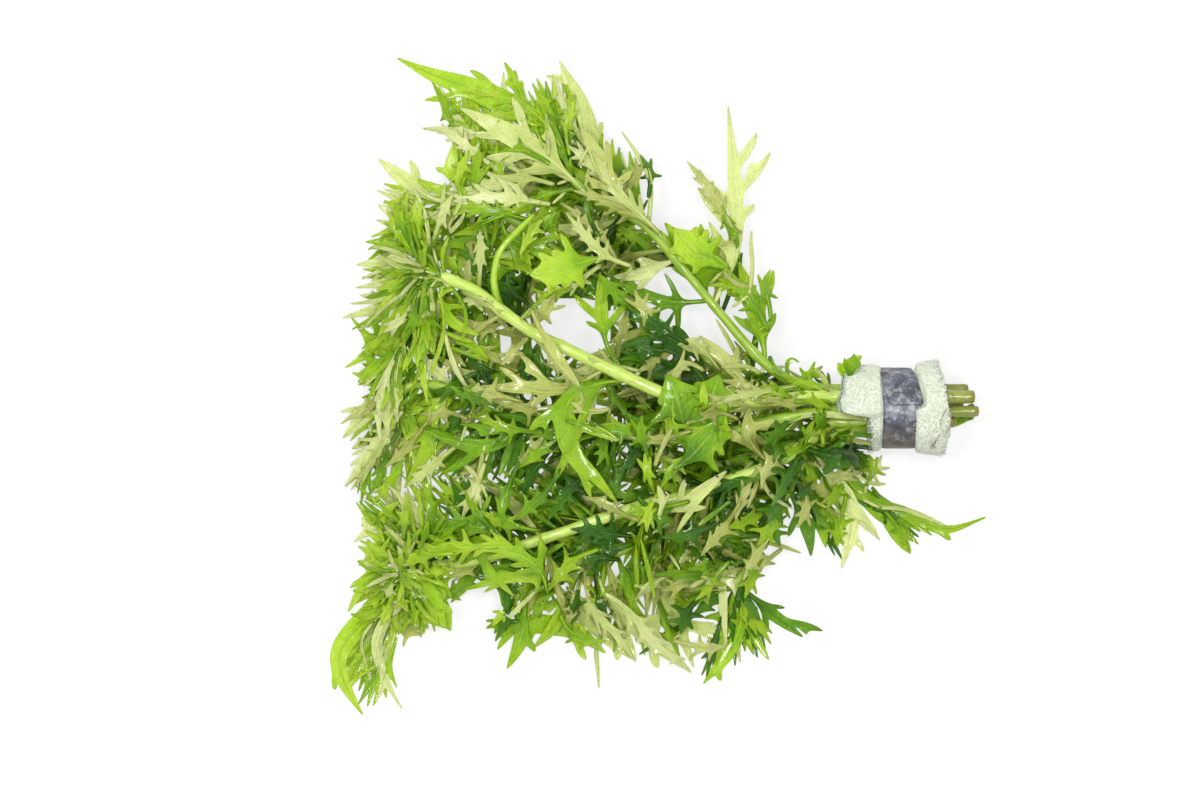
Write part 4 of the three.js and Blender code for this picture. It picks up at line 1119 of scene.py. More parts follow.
# %% Smaller leaves that show
# tint, level, width, midrib. A width below nothing is that of a leaf without lobes.
SHOWN = {
    "crown": """
pale 0.5 10 549,158 548,125 548,94
pale 0.9 30 556,186 520,178 480,190 440,195
pale 1.1 32 552,206 514,200 478,200 444,206
green 1.1 24 532,222 500,214 470,210 440,214
bright 1.1 16 560,214 540,222 528,240 520,258
bright 0.5 14 545,150 530,116 515,80 505,62
green 0.7 20 560,172 520,150 480,165 455,178
bright 0.6 22 562,150 540,118 500,96 462,92
pale 0.8 18 500,172 470,150 440,128 424,130
bright 0.9 18 575,190 545,196 518,214 500,206
olive 1.0 15 617,262 602,238 582,218 560,204
pale 1.1 10 648,228 650,180 636,154 621,132
dark 1.0 14 648,200 650,176 640,156
bright 1.1 18 603,262 570,262 545,268 526,276
pale 1.1 15 601,266 590,274 575,284 560,290
green 1.1 14 540,240 548,226 556,211
green 1.0 12 600,240 590,222 588,200 594,178
dark 0.9 22 620,222 606,232 590,246 574,252
pale 1.2 18 608,200 600,178 586,160 566,146
olive 1.2 12 617,206 628,190 638,176 634,158
bright 0.9 14 528,236 524,252 532,268
green 1.0 9 489,200 484,220 488,242
bright 0.8 8 496,204 497,226 492,248
green 0.8 18 512,214 490,222 470,232 452,236
bright 0.7 16 470,206 458,190 462,168 470,150
pale 0.9 8 444,228 443,206 446,183
pale 0.9 8 448,230 456,214 464,199
pale 0.9 9 450,234 458,226 466,214
bright 0.7 18 440,236 420,222 404,214 384,200
green 0.7 14 446,244 424,240 402,246 380,252
bright 0.5 16 540,128 516,118 492,116 470,122
pale 0.6 14 588,150 574,128 562,100 556,80
olive 1.3 22 655,232 630,214 600,200 572,192
pale 1.3 26 660,236 640,216 616,192 592,152
bright 1.25 48 606,258 582,264 556,272 530,277
pale 1.3 18 632,268 606,258 584,236 566,214
bright 0.7 12 570,158 566,130 572,104 566,84
""",
    "right": """
pale 0.8 9 742,368 730,344 715,319
bright 1.0 46 730,270 712,264 692,250 673,229
bright 1.0 24 768,332 752,304 734,286 706,287
bright 1.0 14 770,322 768,302 762,286 770,270
green 0.7 9 752,374 744,356 733,341
bright 1.2 15 792,392 800,380 814,372 822,366
bright 1.4 20 772,398 790,386 808,384 824,392
olive 0.9 16 736,236 722,212 708,190 690,166
bright 0.9 22 728,268 712,256 692,244 672,238
olive 0.9 10 722,272 734,284 748,288
bright 0.6 14 738,262 736,240 726,222 722,205
pale 0.9 9 748,296 752,268 750,246 751,231
green 0.8 14 768,356 776,372 786,380
olive 1.3 18 800,398 780,392 756,392 735,396
olive 1.1 18 790,402 764,396 738,384 716,380
pale 1.1 8 760,374 744,366 720,368
green 1.8 13 786,412 800,398 816,400 830,407
green 1.8 9 785,411 780,398 772,382
dark 1.6 16 790,410 784,424 772,436 762,444
bright 2.6 12 822,446 820,430 816,410
green 2.6 13 802,448 806,432 812,420
""",
    "heart": """
olive 1.02 13 533,336 548,352 566,372 578,390
olive 1.0 12 529,338 516,350 502,366
olive 1.06 22 610,408 598,412 584,408 570,402
pale 0.95 24 640,372 612,366 580,372 556,380
olive 0.9 22 560,404 536,410 512,404 488,398
olive 0.85 20 520,372 500,362 484,350 470,344
green 1.0 16 656,452 660,436 668,420 680,410
dark 0.95 22 650,430 640,444 630,462 616,472
green 1.08 22 656,498 664,480 676,464 690,452
bright 1.3 6 787,376 785,364 790,357 798,363
dark 1.15 26 688,345 668,334 648,322 628,308
green 1.15 24 642,320 624,304 612,290 598,274
olive 1.15 20 668,332 652,320 640,306 634,290
green 1.1 22 527,320 536,306 550,296 574,290
olive 1.1 26 528,334 540,320 548,308 556,294
olive 1.6 -12 532,310 541,330 557,356 581,388
olive 1.2 24 524,402 502,396 480,392 458,388
green 1.2 20 502,412 484,402 468,394 450,386
dark 0.9 24 530,306 520,298 508,290 496,280
olive 0.9 20 512,332 500,320 490,310 480,296
green 1.1 40 700,462 692,440 684,412 676,384
green 1.2 62 690,452 700,430 708,404 718,374
green 1.2 48 684,440 682,418 676,398 666,374
green 1.2 46 672,470 690,456 704,440 716,420
green 1.1 26 690,452 676,436 668,420 672,398
olive 1.2 18 772,392 748,398 722,398 698,392
olive 1.2 18 800,408 776,404 750,408 726,412
pale 1.2 12 798,386 768,390 738,396 712,406
olive 1.2 16 822,398 800,404 778,402 758,396
green 1.2 16 802,404 786,396 772,390 758,386
green 1.0 26 640,448 632,436 620,428 600,424
dark 1.0 28 668,454 652,440 640,426 626,412
olive 1.0 22 692,430 672,436 650,440 628,436
green 1.05 18 650,462 644,446 640,430 642,414
green 1.0 26 690,500 668,506 644,510 618,516
dark 1.0 26 636,494 646,506 660,516 674,522
bright 1.0 14 660,490 652,500 648,514 646,532
dark 1.3 28 802,446 784,456 768,468 750,482
olive 1.3 20 794,440 776,454 764,470 760,490
dark 1.2 24 814,450 800,462 788,474 776,488
green 1.3 16 820,440 806,446 792,452 776,452
green 0.9 22 522,540 500,546 478,552 454,556
green 1.0 26 540,530 520,526 500,520 480,510
pale 1.05 15 505,312 486,306 470,300 458,304
green 1.1 24 560,470 548,490 530,506 516,520
bright 1.1 12 656,496 648,476 644,452
olive 1.1 10 654,466 662,446 672,426
pale 1.15 13 658,516 662,500 657,484
olive 1.12 14 760,462 748,484 740,502 734,520
olive 1.1 8 757,478 752,494 746,508
pale 1.2 8 760,470 764,488 776,500 792,508
olive 1.1 20 738,420 720,412 700,416 684,424
olive 1.0 18 704,372 688,362 676,372 668,388
pale 1.05 14 720,372 704,352 690,340 676,346
dark 0.9 26 600,470 580,478 560,500 548,520
green 0.95 24 520,460 510,484 502,510 500,536
green 0.9 14 500,440 490,460 480,490 478,520
pale 0.85 18 484,452 478,480 470,500 462,520
dark 0.85 22 560,440 545,456 530,476 524,500
olive 0.95 16 640,520 620,512 600,500 584,496
dark 0.9 24 700,500 720,488 740,480 756,478
dark 1.3 22 756,430 768,440 778,448 786,456
green 0.9 16 590,420 600,436 604,452 596,466
bright 1.0 10 566,420 590,428 612,436
olive 0.8 20 470,420 452,412 436,416 424,430
green 0.9 20 545,432 520,430 494,424 470,414
bright 0.95 13 455,342 474,348 490,360
dark 0.8 18 480,372 462,380 448,392 440,404
""",
    "fringe": """
bright 1.3 10 450,288 440,276 431,262 424,246
pale 1.3 10 454,290 442,282 428,278 408,276
bright 1.3 9 448,280 444,268 444,252 450,238
green 1.3 10 452,286 440,284 430,292 422,304
bright 1.3 9 456,290 446,292 438,302 434,316
pale 0.75 12 436,280 410,276 380,284 356,288
bright 0.8 11 430,300 400,318 378,342 358,357
dark 0.6 12 420,330 400,352 384,368 366,380
bright 0.8 11 424,318 402,340 390,366 386,386
olive 0.8 14 410,380 384,396 362,410 341,424
bright 0.85 10 384,376 392,394 403,414
bright 0.95 9 440,330 458,338 478,344
green 0.95 8 446,346 468,354 490,362
bright 0.95 9 408,320 404,348 409,374
pale 0.95 8 440,300 437,330 434,354
pale 1.0 10 444,326 450,350 460,376 472,392
green 0.85 10 418,424 436,430 460,438
pale 0.9 24 404,410 384,436 362,462 346,486
pale 0.9 16 462,442 444,456 426,472 405,488
pale 0.7 12 396,430 378,452 364,474 351,490
pale 0.85 10 398,396 376,412 358,428 343,438
bright 0.9 9 418,290 396,306 374,318 352,330
bright 0.95 8 422,296 412,330 396,356 384,384
pale 0.9 9 426,286 398,296 372,302 350,304
bright 1.0 10 430,274 404,288 384,304 372,330
green 0.9 9 432,310 430,340 420,372 410,396
bright 1.0 9 440,292 446,322 440,352 428,384
bright 1.05 8 446,282 462,300 468,322 462,344
pale 1.0 8 428,272 402,266 378,272 362,280
bright 0.9 12 426,262 404,250 386,244 368,250
pale 0.8 12 430,252 408,236 394,226 376,220
bright 0.85 10 436,256 418,240 408,220 398,204
green 0.8 14 400,430 388,452 380,478 366,500
bright 0.75 13 408,440 400,466 386,488 372,506
olive 0.8 18 430,420 414,440 400,456 384,468
bright 0.9 10 420,388 404,404 386,414 364,416
green 0.8 12 424,360 404,380 380,392 362,398
""",
    "corner": """
bright 0.9 9 420,548 412,518 406,490
bright 0.9 9 424,546 422,516 419,487
bright 0.95 10 428,546 436,530 446,515
green 0.8 10 418,550 404,534 410,520
bright 0.7 12 386,544 378,524 390,508 402,500
bright 0.7 9 384,530 374,516 362,512
bright 1.0 26 404,560 390,556 372,552 358,546
bright 1.1 24 408,566 392,572 374,566 358,560
bright 1.2 22 410,570 398,580 380,588 352,591
bright 1.3 22 412,566 416,588 420,612 421,638
bright 1.3 20 418,562 426,590 432,610 435,632
bright 1.4 26 396,556 402,576 404,596 398,612
bright 1.4 22 426,556 420,572 408,590 392,600
bright 1.3 16 430,560 440,574 446,590 444,606
pale 0.9 12 486,462 478,486 474,512
pale 0.9 10 482,482 472,470 462,462
pale 0.5 9 374,622 360,640 366,662 372,684
olive 0.6 18 392,624 402,632 412,632 422,624
bright 1.3 34 548,594 541,568 506,548 462,545
bright 1.3 30 500,546 470,546 440,548 410,552
green 0.5 14 398,594 384,608 368,616 350,614
bright 1.5 50 398,556 410,578 426,600 446,628
bright 1.5 26 456,552 432,554 408,560 384,576
bright 0.6 12 400,600 396,620 404,636
bright 0.9 16 470,520 452,528 440,540 428,534
green 0.9 14 500,532 484,520 470,500 476,494
""",
    "foot": """
pale 0.8 10 536,590 522,604 504,622
pale 0.3 5 596,648 597,662 598,674 599,688
bright 0.9 10 546,556 554,548 565,542
bright 1.1 9 640,536 646,560 655,598
green 1.0 8 636,540 636,566 638,588
dark 0.9 28 700,596 690,606 684,620 680,634
olive 0.7 20 672,640 690,644 710,648 728,645
pale 0.8 22 566,586 590,606 614,632 634,658
green 0.9 10 730,500 714,512 696,526
pale 0.6 7 766,542 782,546 801,553
olive 0.8 13 782,548 766,560 748,570
dark 1.2 24 760,506 768,520 774,534 780,546
dark 0.8 28 640,536 616,534 592,530 570,528
dark 0.7 24 620,560 600,556 580,560 562,566
green 0.9 24 600,548 578,556 560,574 548,590
olive 0.9 22 740,500 728,520 712,540 700,556
dark 0.9 26 720,520 700,530 680,536 660,536
olive 0.8 22 700,560 690,576 676,586 660,590
pale 0.7 16 680,570 664,576 648,586 634,600
green 0.8 20 730,560 716,574 706,590 694,600
pale 1.1 20 604,592 626,606 652,640 690,670
green 0.7 12 520,620 500,622 486,628
bright 0.8 12 516,606 504,612 492,626
bright 0.8 16 560,612 566,628 588,640 606,640
""",
    "skirt": """
green 1.6 18 852,470 842,486 832,498 826,512
pale 0.8 20 864,494 868,480 876,466 882,455
green 0.9 17 866,486 872,474 873,464 868,454
pale 0.9 7 868,482 876,484 886,484
dark 0.7 20 872,448 856,446 842,446 826,440
olive 0.8 16 870,444 854,440 840,438 824,436
green 0.6 14 870,436 852,434 838,436 822,442
green 1.4 14 792,402 804,401 816,403 830,408
green 1.4 13 817,444 821,432 819,420 815,406
dark 1.4 20 826,452 838,450 852,456 864,464
green 1.2 24 788,500 778,516 766,532 756,546
olive 1.2 18 774,530 762,546 752,562 742,580
dark 1.1 28 792,480 782,494 774,508 766,524
green 1.0 18 764,552 756,566 750,582 744,598
olive 2.2 16 818,466 832,474 846,476 860,470
dark 1.6 18 800,450 790,470 780,490 770,506
dark 1.2 18 792,470 800,488 808,500 820,508
olive 1.1 18 800,480 806,498 804,514 796,528
green 1.0 12 812,506 820,520 832,530
olive 0.9 9 828,508 838,522 836,534
bright 0.7 20 846,494 842,514 838,534 836,552
dark 0.4 14 872,508 886,512 900,518
green 0.4 13 884,510 900,530 911,552
pale 0.4 9 880,508 900,508 924,516 946,526
pale 0.5 8 858,520 870,530 880,540
""",
}
print("small leaves listed:", {region: leaves.count("\n") - 1 for region, leaves in SHOWN.items()})

# %% [markdown]
# These leaves lie on the pile and not in it, so each has to know how high the pile is under its corners. A
# ray cast down on the solids tells one part. The other is a note of the highest leaf so far in each small
# cell, kept up to date after every leaf. A stalk leads a few millimetres down towards the nearest stem.


# %% Lay the small leaves
def paired_lobes(spine, width):
    """Lobe tips in pairs along a blade of a whole width, and what width is left to its middle"""
    path = Path(spine)
    if width < 0:
        return (), -width
    if width < 11 * PIXEL:
        return (), width * 0.62
    broad = width > 45 * PIXEL
    pairs = max(1, min(4, round(path.length / (7.5 * MM))))
    lobes = []
    for pair in range(pairs):
        for sign in (1, -1):
            share = 0.42 + 0.44 * pair / max(1, pairs - 1) if pairs > 1 else 0.62
            share += chance.uniform(-0.06, 0.06)
            reach = width * (0.55 if broad else 0.66) * chance.uniform(0.7, 1.3) * (1 - 0.17 * pair)
            tip = path.at(share) + leftward(path.way(share)) * sign * reach
            lobes.append((tip, min(3.2 * MM, max(1.4 * MM, width * 0.19))))
    return lobes, width * 0.68 if broad else max(width * 0.38, 2.6 * MM)


PILE_CELL = 1.5 * MM
LONGEST_STALK, NO_STALK = 7 * MM, 3 * MM
pile_cells = {}


def cell_of(place, size=PILE_CELL):
    return round(place.x / size), round(place.y / size)


def pile_over(place, gap=0.5 * MM):
    """The lowest height at which a new leaf clears the solids and the leaves laid so far"""
    top = solid_top(place) or 0.0
    return max(top, pile_cells.get(cell_of(place), 0.0)) + gap


def mark_pile(piece, first):
    """Remember the tops of the faces that a piece has gained"""
    piece.faces.ensure_lookup_table()
    for face in piece.faces[first:]:
        centre = face.calc_center_median()
        for place in (centre, *(v.co for v in face.verts)):
            key = cell_of(place)
            pile_cells[key] = max(pile_cells.get(key, 0.0), place.z)


def nearest_stem(place, reach=60 * MM):
    """The nearest stem's axis to a place, seen from above"""
    best, least = None, reach
    for path in paths.values():
        for step in range(18, 81):
            found = path.at(step / 80)
            away = (flat(found) - flat(place)).length
            if away < least:
                best, least = found, away
    return best


def shown_leaf(piece, tint, level, width, *spine, loose=False):
    """A small leaf on top of the pile, with a stalk towards its stem. A loose one may overlap others."""
    places = [spot(*place) for place in spine]
    look = tint_order.index(tint)
    lobes, blade_width = paired_lobes(places, width * PIXEL)
    root = nearest_stem(places[0])
    gap = (chance.uniform(0.3, 2.6) if loose else 0.5) * MM

    def lay(place):
        return max(level * mound(place), pile_over(place, gap))
    first = len(piece.faces)
    start = Vector((*places[0].xy, lay(places[0])))
    away = (flat(root) - flat(places[0])).length
    if away < NO_STALK and (solid_top(places[0]) or 0) - root.z < 3.5 * MM:
        start.z = root.z
    root = start.lerp(root, min(1, LONGEST_STALK / max(away, MM)))
    root.z = max(MM, root.z - 3 * MM)
    if away > NO_STALK:
        middle = start.lerp(root, 0.5) + Vector((0, 0, 1.0 * MM))
        stalk = Path([root, middle, start], 4)
        rod(piece, stalk, lambda share, turn: (0.8 - 0.15 * share) * MM, 5, 4 * MM, 0.0, 0.4, look, look)
    grow_leaf(piece, places, blade_width, lobes, lay, look, UNDER, chance.uniform(-1, 1), start,
              ripple=0.9, stalk=0.6, small=loose)
    if not loose:
        mark_pile(piece, first)


for region, leaves in SHOWN.items():
    piece = new_piece()
    for leaf in leaves.strip().splitlines():
        tint, level, width, *midrib = leaf.split()
        shown_leaf(piece, tint, float(level), float(width), *numbers(midrib))
    finish_piece(piece, f"small_leaves_{region}", leaf_slots, 1)
print("cells of the pile with a leaf over them:", len(pile_cells))

# %% [markdown]
# At three growing tips the leaves are young, slim and many, and stand out to all sides like a loose tuft.
# Their places were looked up in the picture, but not each leaf. A tuft draws its leaves at random between
# two turns of the compass, and each has to end inside the outline of the bunch. These lie on top of the
# pile with gaps of their own between them, so that they don't close into a mat. The outline, and the gaps
# through which the white table shows, serve the next steps too.

# %% Tufts round the growing tips
OUTLINE = numbers("""
397,58 440,72 480,82 510,66 522,92 548,62 575,85 600,128 632,150 652,172 652,214 664,224 700,230 724,242
742,252 752,262 775,272 775,313 766,353 792,366 836,362 842,440 884,462 878,500 905,506 945,528 911,550
880,520 856,506 850,560 838,566 824,530 800,515 772,528 748,575 745,592 762,612 780,630 766,655 703,682
694,664 635,658 600,652 535,642 495,648 486,626 455,606 450,628 420,634 396,636 390,660 402,700 363,712
336,688 338,650 352,618 350,590 357,545 360,510 348,486 360,458 345,437 346,424 364,400 350,368 366,340
346,318 364,300 358,270 368,240 384,222 380,190 382,162 430,186 452,186 456,145 480,150 425,128 450,112
430,88
""".split())
# gaps to the table: left, top, right, bottom
WINDOWS = numbers("""
540,298,604,354 653,264,696,306 642,300,752,320 688,318,752,352 496,338,512,354 608,566,626,584
466,586,502,624 640,178,702,224 758,236,862,368 752,575,800,604 544,602,562,622 700,606,712,640
452,600,486,660
""".split())
# (column, row, how many, turns in degrees, lengths in pixels, tints)
TUFTS = (
    (428, 272, 62, (70, 285), (26, 66), ("bright", "pale", "green", "bright")),
    (404, 345, 34, (92, 175), (36, 84), ("bright", "pale", "bright", "pale", "green")),
    (402, 572, 46, (0, 360), (14, 38), ("bright", "bright", "bright", "pale")),
)
SPINE_SHARES = (0, 0.35, 0.7, 1)


def inside(place):
    """Whether a place lies within the outline"""
    column, row = pixel(place)
    crossings = 0
    for (x1, y1), (x2, y2) in zip(OUTLINE, OUTLINE[1:] + OUTLINE[:1]):
        if (y1 > row) != (y2 > row) and column < x1 + (x2 - x1) * (row - y1) / (y2 - y1):
            crossings += 1
    return crossings % 2 == 1


def in_window(place, margin=3):
    """Whether a place lies in a gap, or within a margin of pixels round it"""
    column, row = pixel(place)
    return any(left - margin < column < right + margin and top - margin < row < bottom + margin
               for left, top, right, bottom in WINDOWS)


def tuft(piece, column, row, count, turns, reach, tints):
    """Slim leaves round a growing tip, between two turns of the compass, laid loosely over one another"""
    for _ in range(count):
        turn = math.radians(chance.uniform(*turns))
        ahead = (math.cos(turn), math.sin(turn))
        start, length, bend = chance.uniform(0, 34), chance.uniform(*reach), chance.uniform(-0.55, 0.55)
        spine = []
        for part in SPINE_SHARES:
            out, side = start + length * part, bend * length * part * part
            spine.append((column + ahead[0] * out - ahead[1] * side, row + ahead[1] * out + ahead[0] * side))
        if inside(spot(*spine[-1])):
            shown_leaf(piece, chance.choice(tints), 1.0, chance.uniform(7, 14), *spine, loose=True)


piece = new_piece()
for tip in TUFTS:
    tuft(piece, *tip)
finish_piece(piece, "tip_tufts", leaf_slots, 1)
print("leaves asked of the tufts:", sum(count for _, _, count, *_ in TUFTS))

# %% [markdown]
# Under all these lies a crowd that shows only as dark green depth. It can't be listed leaf by leaf, so it is
# grown: from random nodes of every stem, leaning to the tip as the real ones do, below the top of the
# solids, and inside the outline of the bunch. Leaves that would cross a gap through which the white table
# shows are left out. The draws come from one seed, so the crowd is the same each time.

# %% The crowd below
CROWD = 300
CROWD_TRIES = 3  # draws allowed for each leaf that is wanted
CROWD_DEPTH = 1.9 * MM  # how far below the solids' tops it stays
CROWD_TINTS = {
    "left": ("bright", "green", "pale", "bright"), "top": ("bright", "pale", "green", "bright"),
    "middle": ("green", "dark", "olive", "green"), "low": ("dark", "green", "olive", "green"),
}


def region_of(place):
    column, row = pixel(place)
    if column < 440:
        return "left"
    if row < 250:
        return "top"
    return "middle" if row < 470 else "low"


def tucked(level, tilt, spine, across, depth):
    """A height function for a blade that slopes sideways and stays below the solids' tops"""
    def lay(place):
        z = level * mound(place) + tilt * (flat(place) - spine[0]).dot(across)
        top = solid_top(place)
        return z if top is None else min(z, top - depth)
    return lay


def crowd_leaf(piece, stem, share, sign):
    path = paths[stem]
    root = path.at(share)
    way = flat(path.way(share)).normalized()
    way.rotate(Matrix.Rotation(math.radians(chance.uniform(12, 88)) * sign, 3, "Z"))
    length = chance.uniform(17, 34) * MM
    across = leftward(way)
    curl = chance.uniform(-0.2, 0.2)
    spine = [flat(root) + way * length * part + across * curl * length * part * part
             for part in SPINE_SHARES]
    width = chance.uniform(11, 24) * PIXEL
    level = chance.uniform(0.12, 0.9)
    lobes, blade_width = paired_lobes(spine, width)
    probes = [Path(spine).at(k / 6) for k in range(2, 7)] + [tip for tip, _ in lobes]
    if any(in_window(place) or not inside(place) for place in probes):
        return False
    lay = tucked(level, chance.uniform(-0.35, 0.35), spine, across, CROWD_DEPTH)
    tint = tint_order.index(chance.choice(CROWD_TINTS[region_of(spine[2])]))
    grow_leaf(piece, spine, blade_width, lobes, lay, tint, UNDER, chance.uniform(-1, 0.6), root,
              ripple=1.2, stalk=0.6, small=True)
    return True


for stem in STEMS:
    piece = new_piece()
    grown = 0
    for _ in range(CROWD // len(STEMS) * CROWD_TRIES):
        share = chance.uniform(0.36, 1)
        grown += crowd_leaf(piece, stem, share, chance.choice((1, -1)))
        if grown >= CROWD // len(STEMS):
            break
    finish_piece(piece, stem.replace("stem", "crowd"), leaf_slots, 1)
    print("crowd on", stem, grown)

# %% [markdown]
# A random crowd clumps, and between the clumps the table would show where the picture has leaves. So the
# bunch is looked at once more from above, in cells of 1.25 mm. A cell inside the outline that no leaf covers
# gets one that grows from a stem nearby and passes over it, until few are left or the tries run out. This is
# quicker than growing so many random leaves that every gap is hit by luck.

# %% Close the gaps
GAP_CELL = 1.25 * MM
GAP_TRIES, GAP_LEAVES = 2600, 420
GAP_PIECES = ("one", "two", "three", "four")
GAP_DEPTH = 1.7 * MM
LOWER_LEFT, UPPER_RIGHT = (335, 715), (987, 58)  # pixels that hold the outline between them
USUAL_REACH, USUAL_LEAN = 17 * MM, 0.9  # how far ahead of its root, and at what lean, a leaf covers a place
FARTHEST, FREE_REACH = 34 * MM, 22 * MM
# in the middle and low regions the gap leaves are mostly dark: the tints of leaves there, with painted shade
# for the depth of the pile
GAP_TINTS_WITH_PAINTED_SHADE = {
    "left": ("bright", "pale", "bright", "green"), "top": ("bright", "green", "bright", "pale", "green"),
    "middle": ("green", "dark", "green", "dark", "olive"), "low": ("green", "dark", "olive", "green", "dark"),
}


def open_cells():
    """The cells inside the outline, outside the windows, over which nothing lies yet"""
    whole = bmesh.new()
    for made in bpy.context.scene.collection.objects:
        if made.type == "MESH":
            whole.from_mesh(made.data)
    tree = BVHTree.FromBMesh(whole)
    whole.free()
    found = set()
    first, last = cell_of(spot(*LOWER_LEFT), GAP_CELL), cell_of(spot(*UPPER_RIGHT), GAP_CELL)
    for i in range(first[0], last[0] + 1):
        for j in range(first[1], last[1] + 1):
            place = Vector((i * GAP_CELL, j * GAP_CELL, 0))
            if not inside(place) or in_window(place, 0):
                continue
            if tree.ray_cast(place + Vector((0, 0, 1)), Vector((0, 0, -1)))[0] is None:
                found.add((i, j))
    return found


def growing_place(target):
    """A place on some stem from which a leaf would reach the target"""
    best, least = None, 9.0
    for path in paths.values():
        for step in range(12, 41):
            share = step / 40
            root = path.at(share)
            way = flat(target) - flat(root)
            lean = flat(path.way(share)).angle(way, 0)
            miss = abs(way.length - USUAL_REACH) / USUAL_REACH + 0.6 * abs(lean - USUAL_LEAN)
            miss += chance.uniform(0, 0.7)
            if miss < least:
                best, least = root, miss
    return best


def gap_leaf(piece, target):
    """A leaf over the target. Returns the cells that it covers, or nothing if it would leave the outline."""
    root = growing_place(target)
    way = flat(target) - flat(root)
    across = leftward(way)
    if way.length > FARTHEST:
        root = flat(target) - way.normalized() * FREE_REACH + Vector((0, 0, 0.4 * mound(target)))
        way = flat(target) - flat(root)
    curl = chance.uniform(-0.18, 0.18)
    reach = way.length + chance.uniform(3, 9) * MM
    ahead = way.normalized()
    spine = [flat(root) + ahead * reach * part + across * curl * reach * part * (1 - part)
             for part in SPINE_SHARES]
    width = chance.uniform(12, 23) * PIXEL
    lobes, blade_width = paired_lobes(spine, width)
    line = Path(spine)
    probes = [line.at(k / 6) for k in range(2, 7)]
    if any(in_window(place, 1) or not inside(place) for place in probes):
        return None
    lobes = [lobe for lobe in lobes if inside(lobe[0]) and not in_window(lobe[0], 0)]
    level = chance.uniform(0.35, 0.9)
    lay = tucked(level, chance.uniform(-0.3, 0.3), spine, across, GAP_DEPTH)
    tint = tint_order.index(chance.choice(GAP_TINTS_WITH_PAINTED_SHADE[region_of(target)]))
    first = len(piece.faces)
    grow_leaf(piece, spine, blade_width, lobes, lay, tint, UNDER, chance.uniform(-0.7, 1), root,
              ripple=1.2, stalk=0.6, small=True)
    piece.faces.ensure_lookup_table()
    hit = set()
    for face in piece.faces[first:]:
        corners = [v.co for v in face.verts]
        centre = face.calc_center_median()
        for place in (centre, *corners, *((centre + corner) / 2 for corner in corners)):
            hit.add(cell_of(place, GAP_CELL))
    return hit


gaps = open_cells()
print("open cells before:", len(gaps))
filled = 0
for name in GAP_PIECES:
    piece = new_piece()
    for _ in range(GAP_TRIES // len(GAP_PIECES)):
        if not gaps or filled >= GAP_LEAVES:
            break
        i, j = chance.choice(sorted(gaps))
        hit = gap_leaf(piece, Vector((i * GAP_CELL, j * GAP_CELL, 0)))
        if hit is None:
            continue
        gaps -= hit
        filled += 1
    finish_piece(piece, f"gap_leaves_{name}", leaf_slots, 1)
print("gap leaves:", filled, "open cells left:", len(gaps))

# %% [markdown]
# The foam wrap is open-cell foam: a net of fine struts round cells under a millimetre wide, soft grey-green
# white, with a ragged cut edge. A noise texture alone would leave a smooth outline. So one closed skin is
# rolled into a ring, its shape follows the picture (it swells on both sides of the strip, and is open on
# the lower left, where the stems leave it), and each corner of a dense mesh is moved by the distance to
# the borders of Voronoi cells: struts stand, pores sink. Short loose strands finish the cut edges. Each
# corner also keeps two facts for the material: whether it is strut or pore, and how near a cut edge it is.

# %% Foam shape
AXIS_Y, AXIS_Z = foam_axis_y, BUNDLE_HEIGHT * MM
# (share of the length, radius in mm)
FOAM_SECTION = (
    (0, 12.2), (0.04, 13.6), (0.12, 14.4), (0.24, 14.6), (0.33, 14.1), (0.385, 12.4), (0.41, 12.1),
    (0.62, 12.1), (0.65, 12.9), (0.69, 15.0), (0.78, 15.6), (0.88, 15.8), (0.95, 15.1), (1, 13.4),
)
FOAM_BORE = 8.4 * MM
CELL, STRUT = 0.95 * MM, 0.42  # a cell's width, and a strut's share of it
ON_TABLE = 0.05 * MM
STRANDS = 700


def foam_share(column):
    """Where a column lies along the foam, from 0 at its left end to 1 at its right"""
    return min(1, max(0, (column - FOAM_LEFT) / (FOAM_RIGHT - FOAM_LEFT)))


def foam_radius(share):
    for (s1, r1), (s2, r2) in zip(FOAM_SECTION, FOAM_SECTION[1:]):
        if share <= s2:
            return (r1 + (r2 - r1) * smooth((share - s1) / (s2 - s1))) * MM
    return FOAM_SECTION[-1][1] * MM


def crown(turn, radius):
    """A place on the ring: turn is from the crown towards the lower rows of the picture"""
    return AXIS_Y - radius * math.sin(turn), AXIS_Z + radius * math.cos(turn)


def foam_ends(turn):
    """The columns of the left and right edge of the foam at a turn, in pixels"""
    degrees = math.degrees(turn)
    notch = smooth((degrees - 6) / 8) if degrees > 0 else smooth((-150 - degrees) / 30)
    left = 839 + 27 * notch - 3.5 * math.exp(-((degrees + 8) / 14) ** 2) + 3 * smooth((-40 - degrees) / 40)
    right = 942 + 5 * math.exp(-((degrees - 22) / 30) ** 2) - 6 * smooth((-25 - degrees) / 40)
    return left, right


print("foam radius at its middle, mm:", round(foam_radius(0.5) / MM, 2))

# %% [markdown]
# The ring is a grid. One way it runs over the outside, the right face, the bore and the left face, and the
# other way round the axis. Both seams are merged at the end, which closes it. The strands are thin rods that
# stand out of the skin near the cut edges.


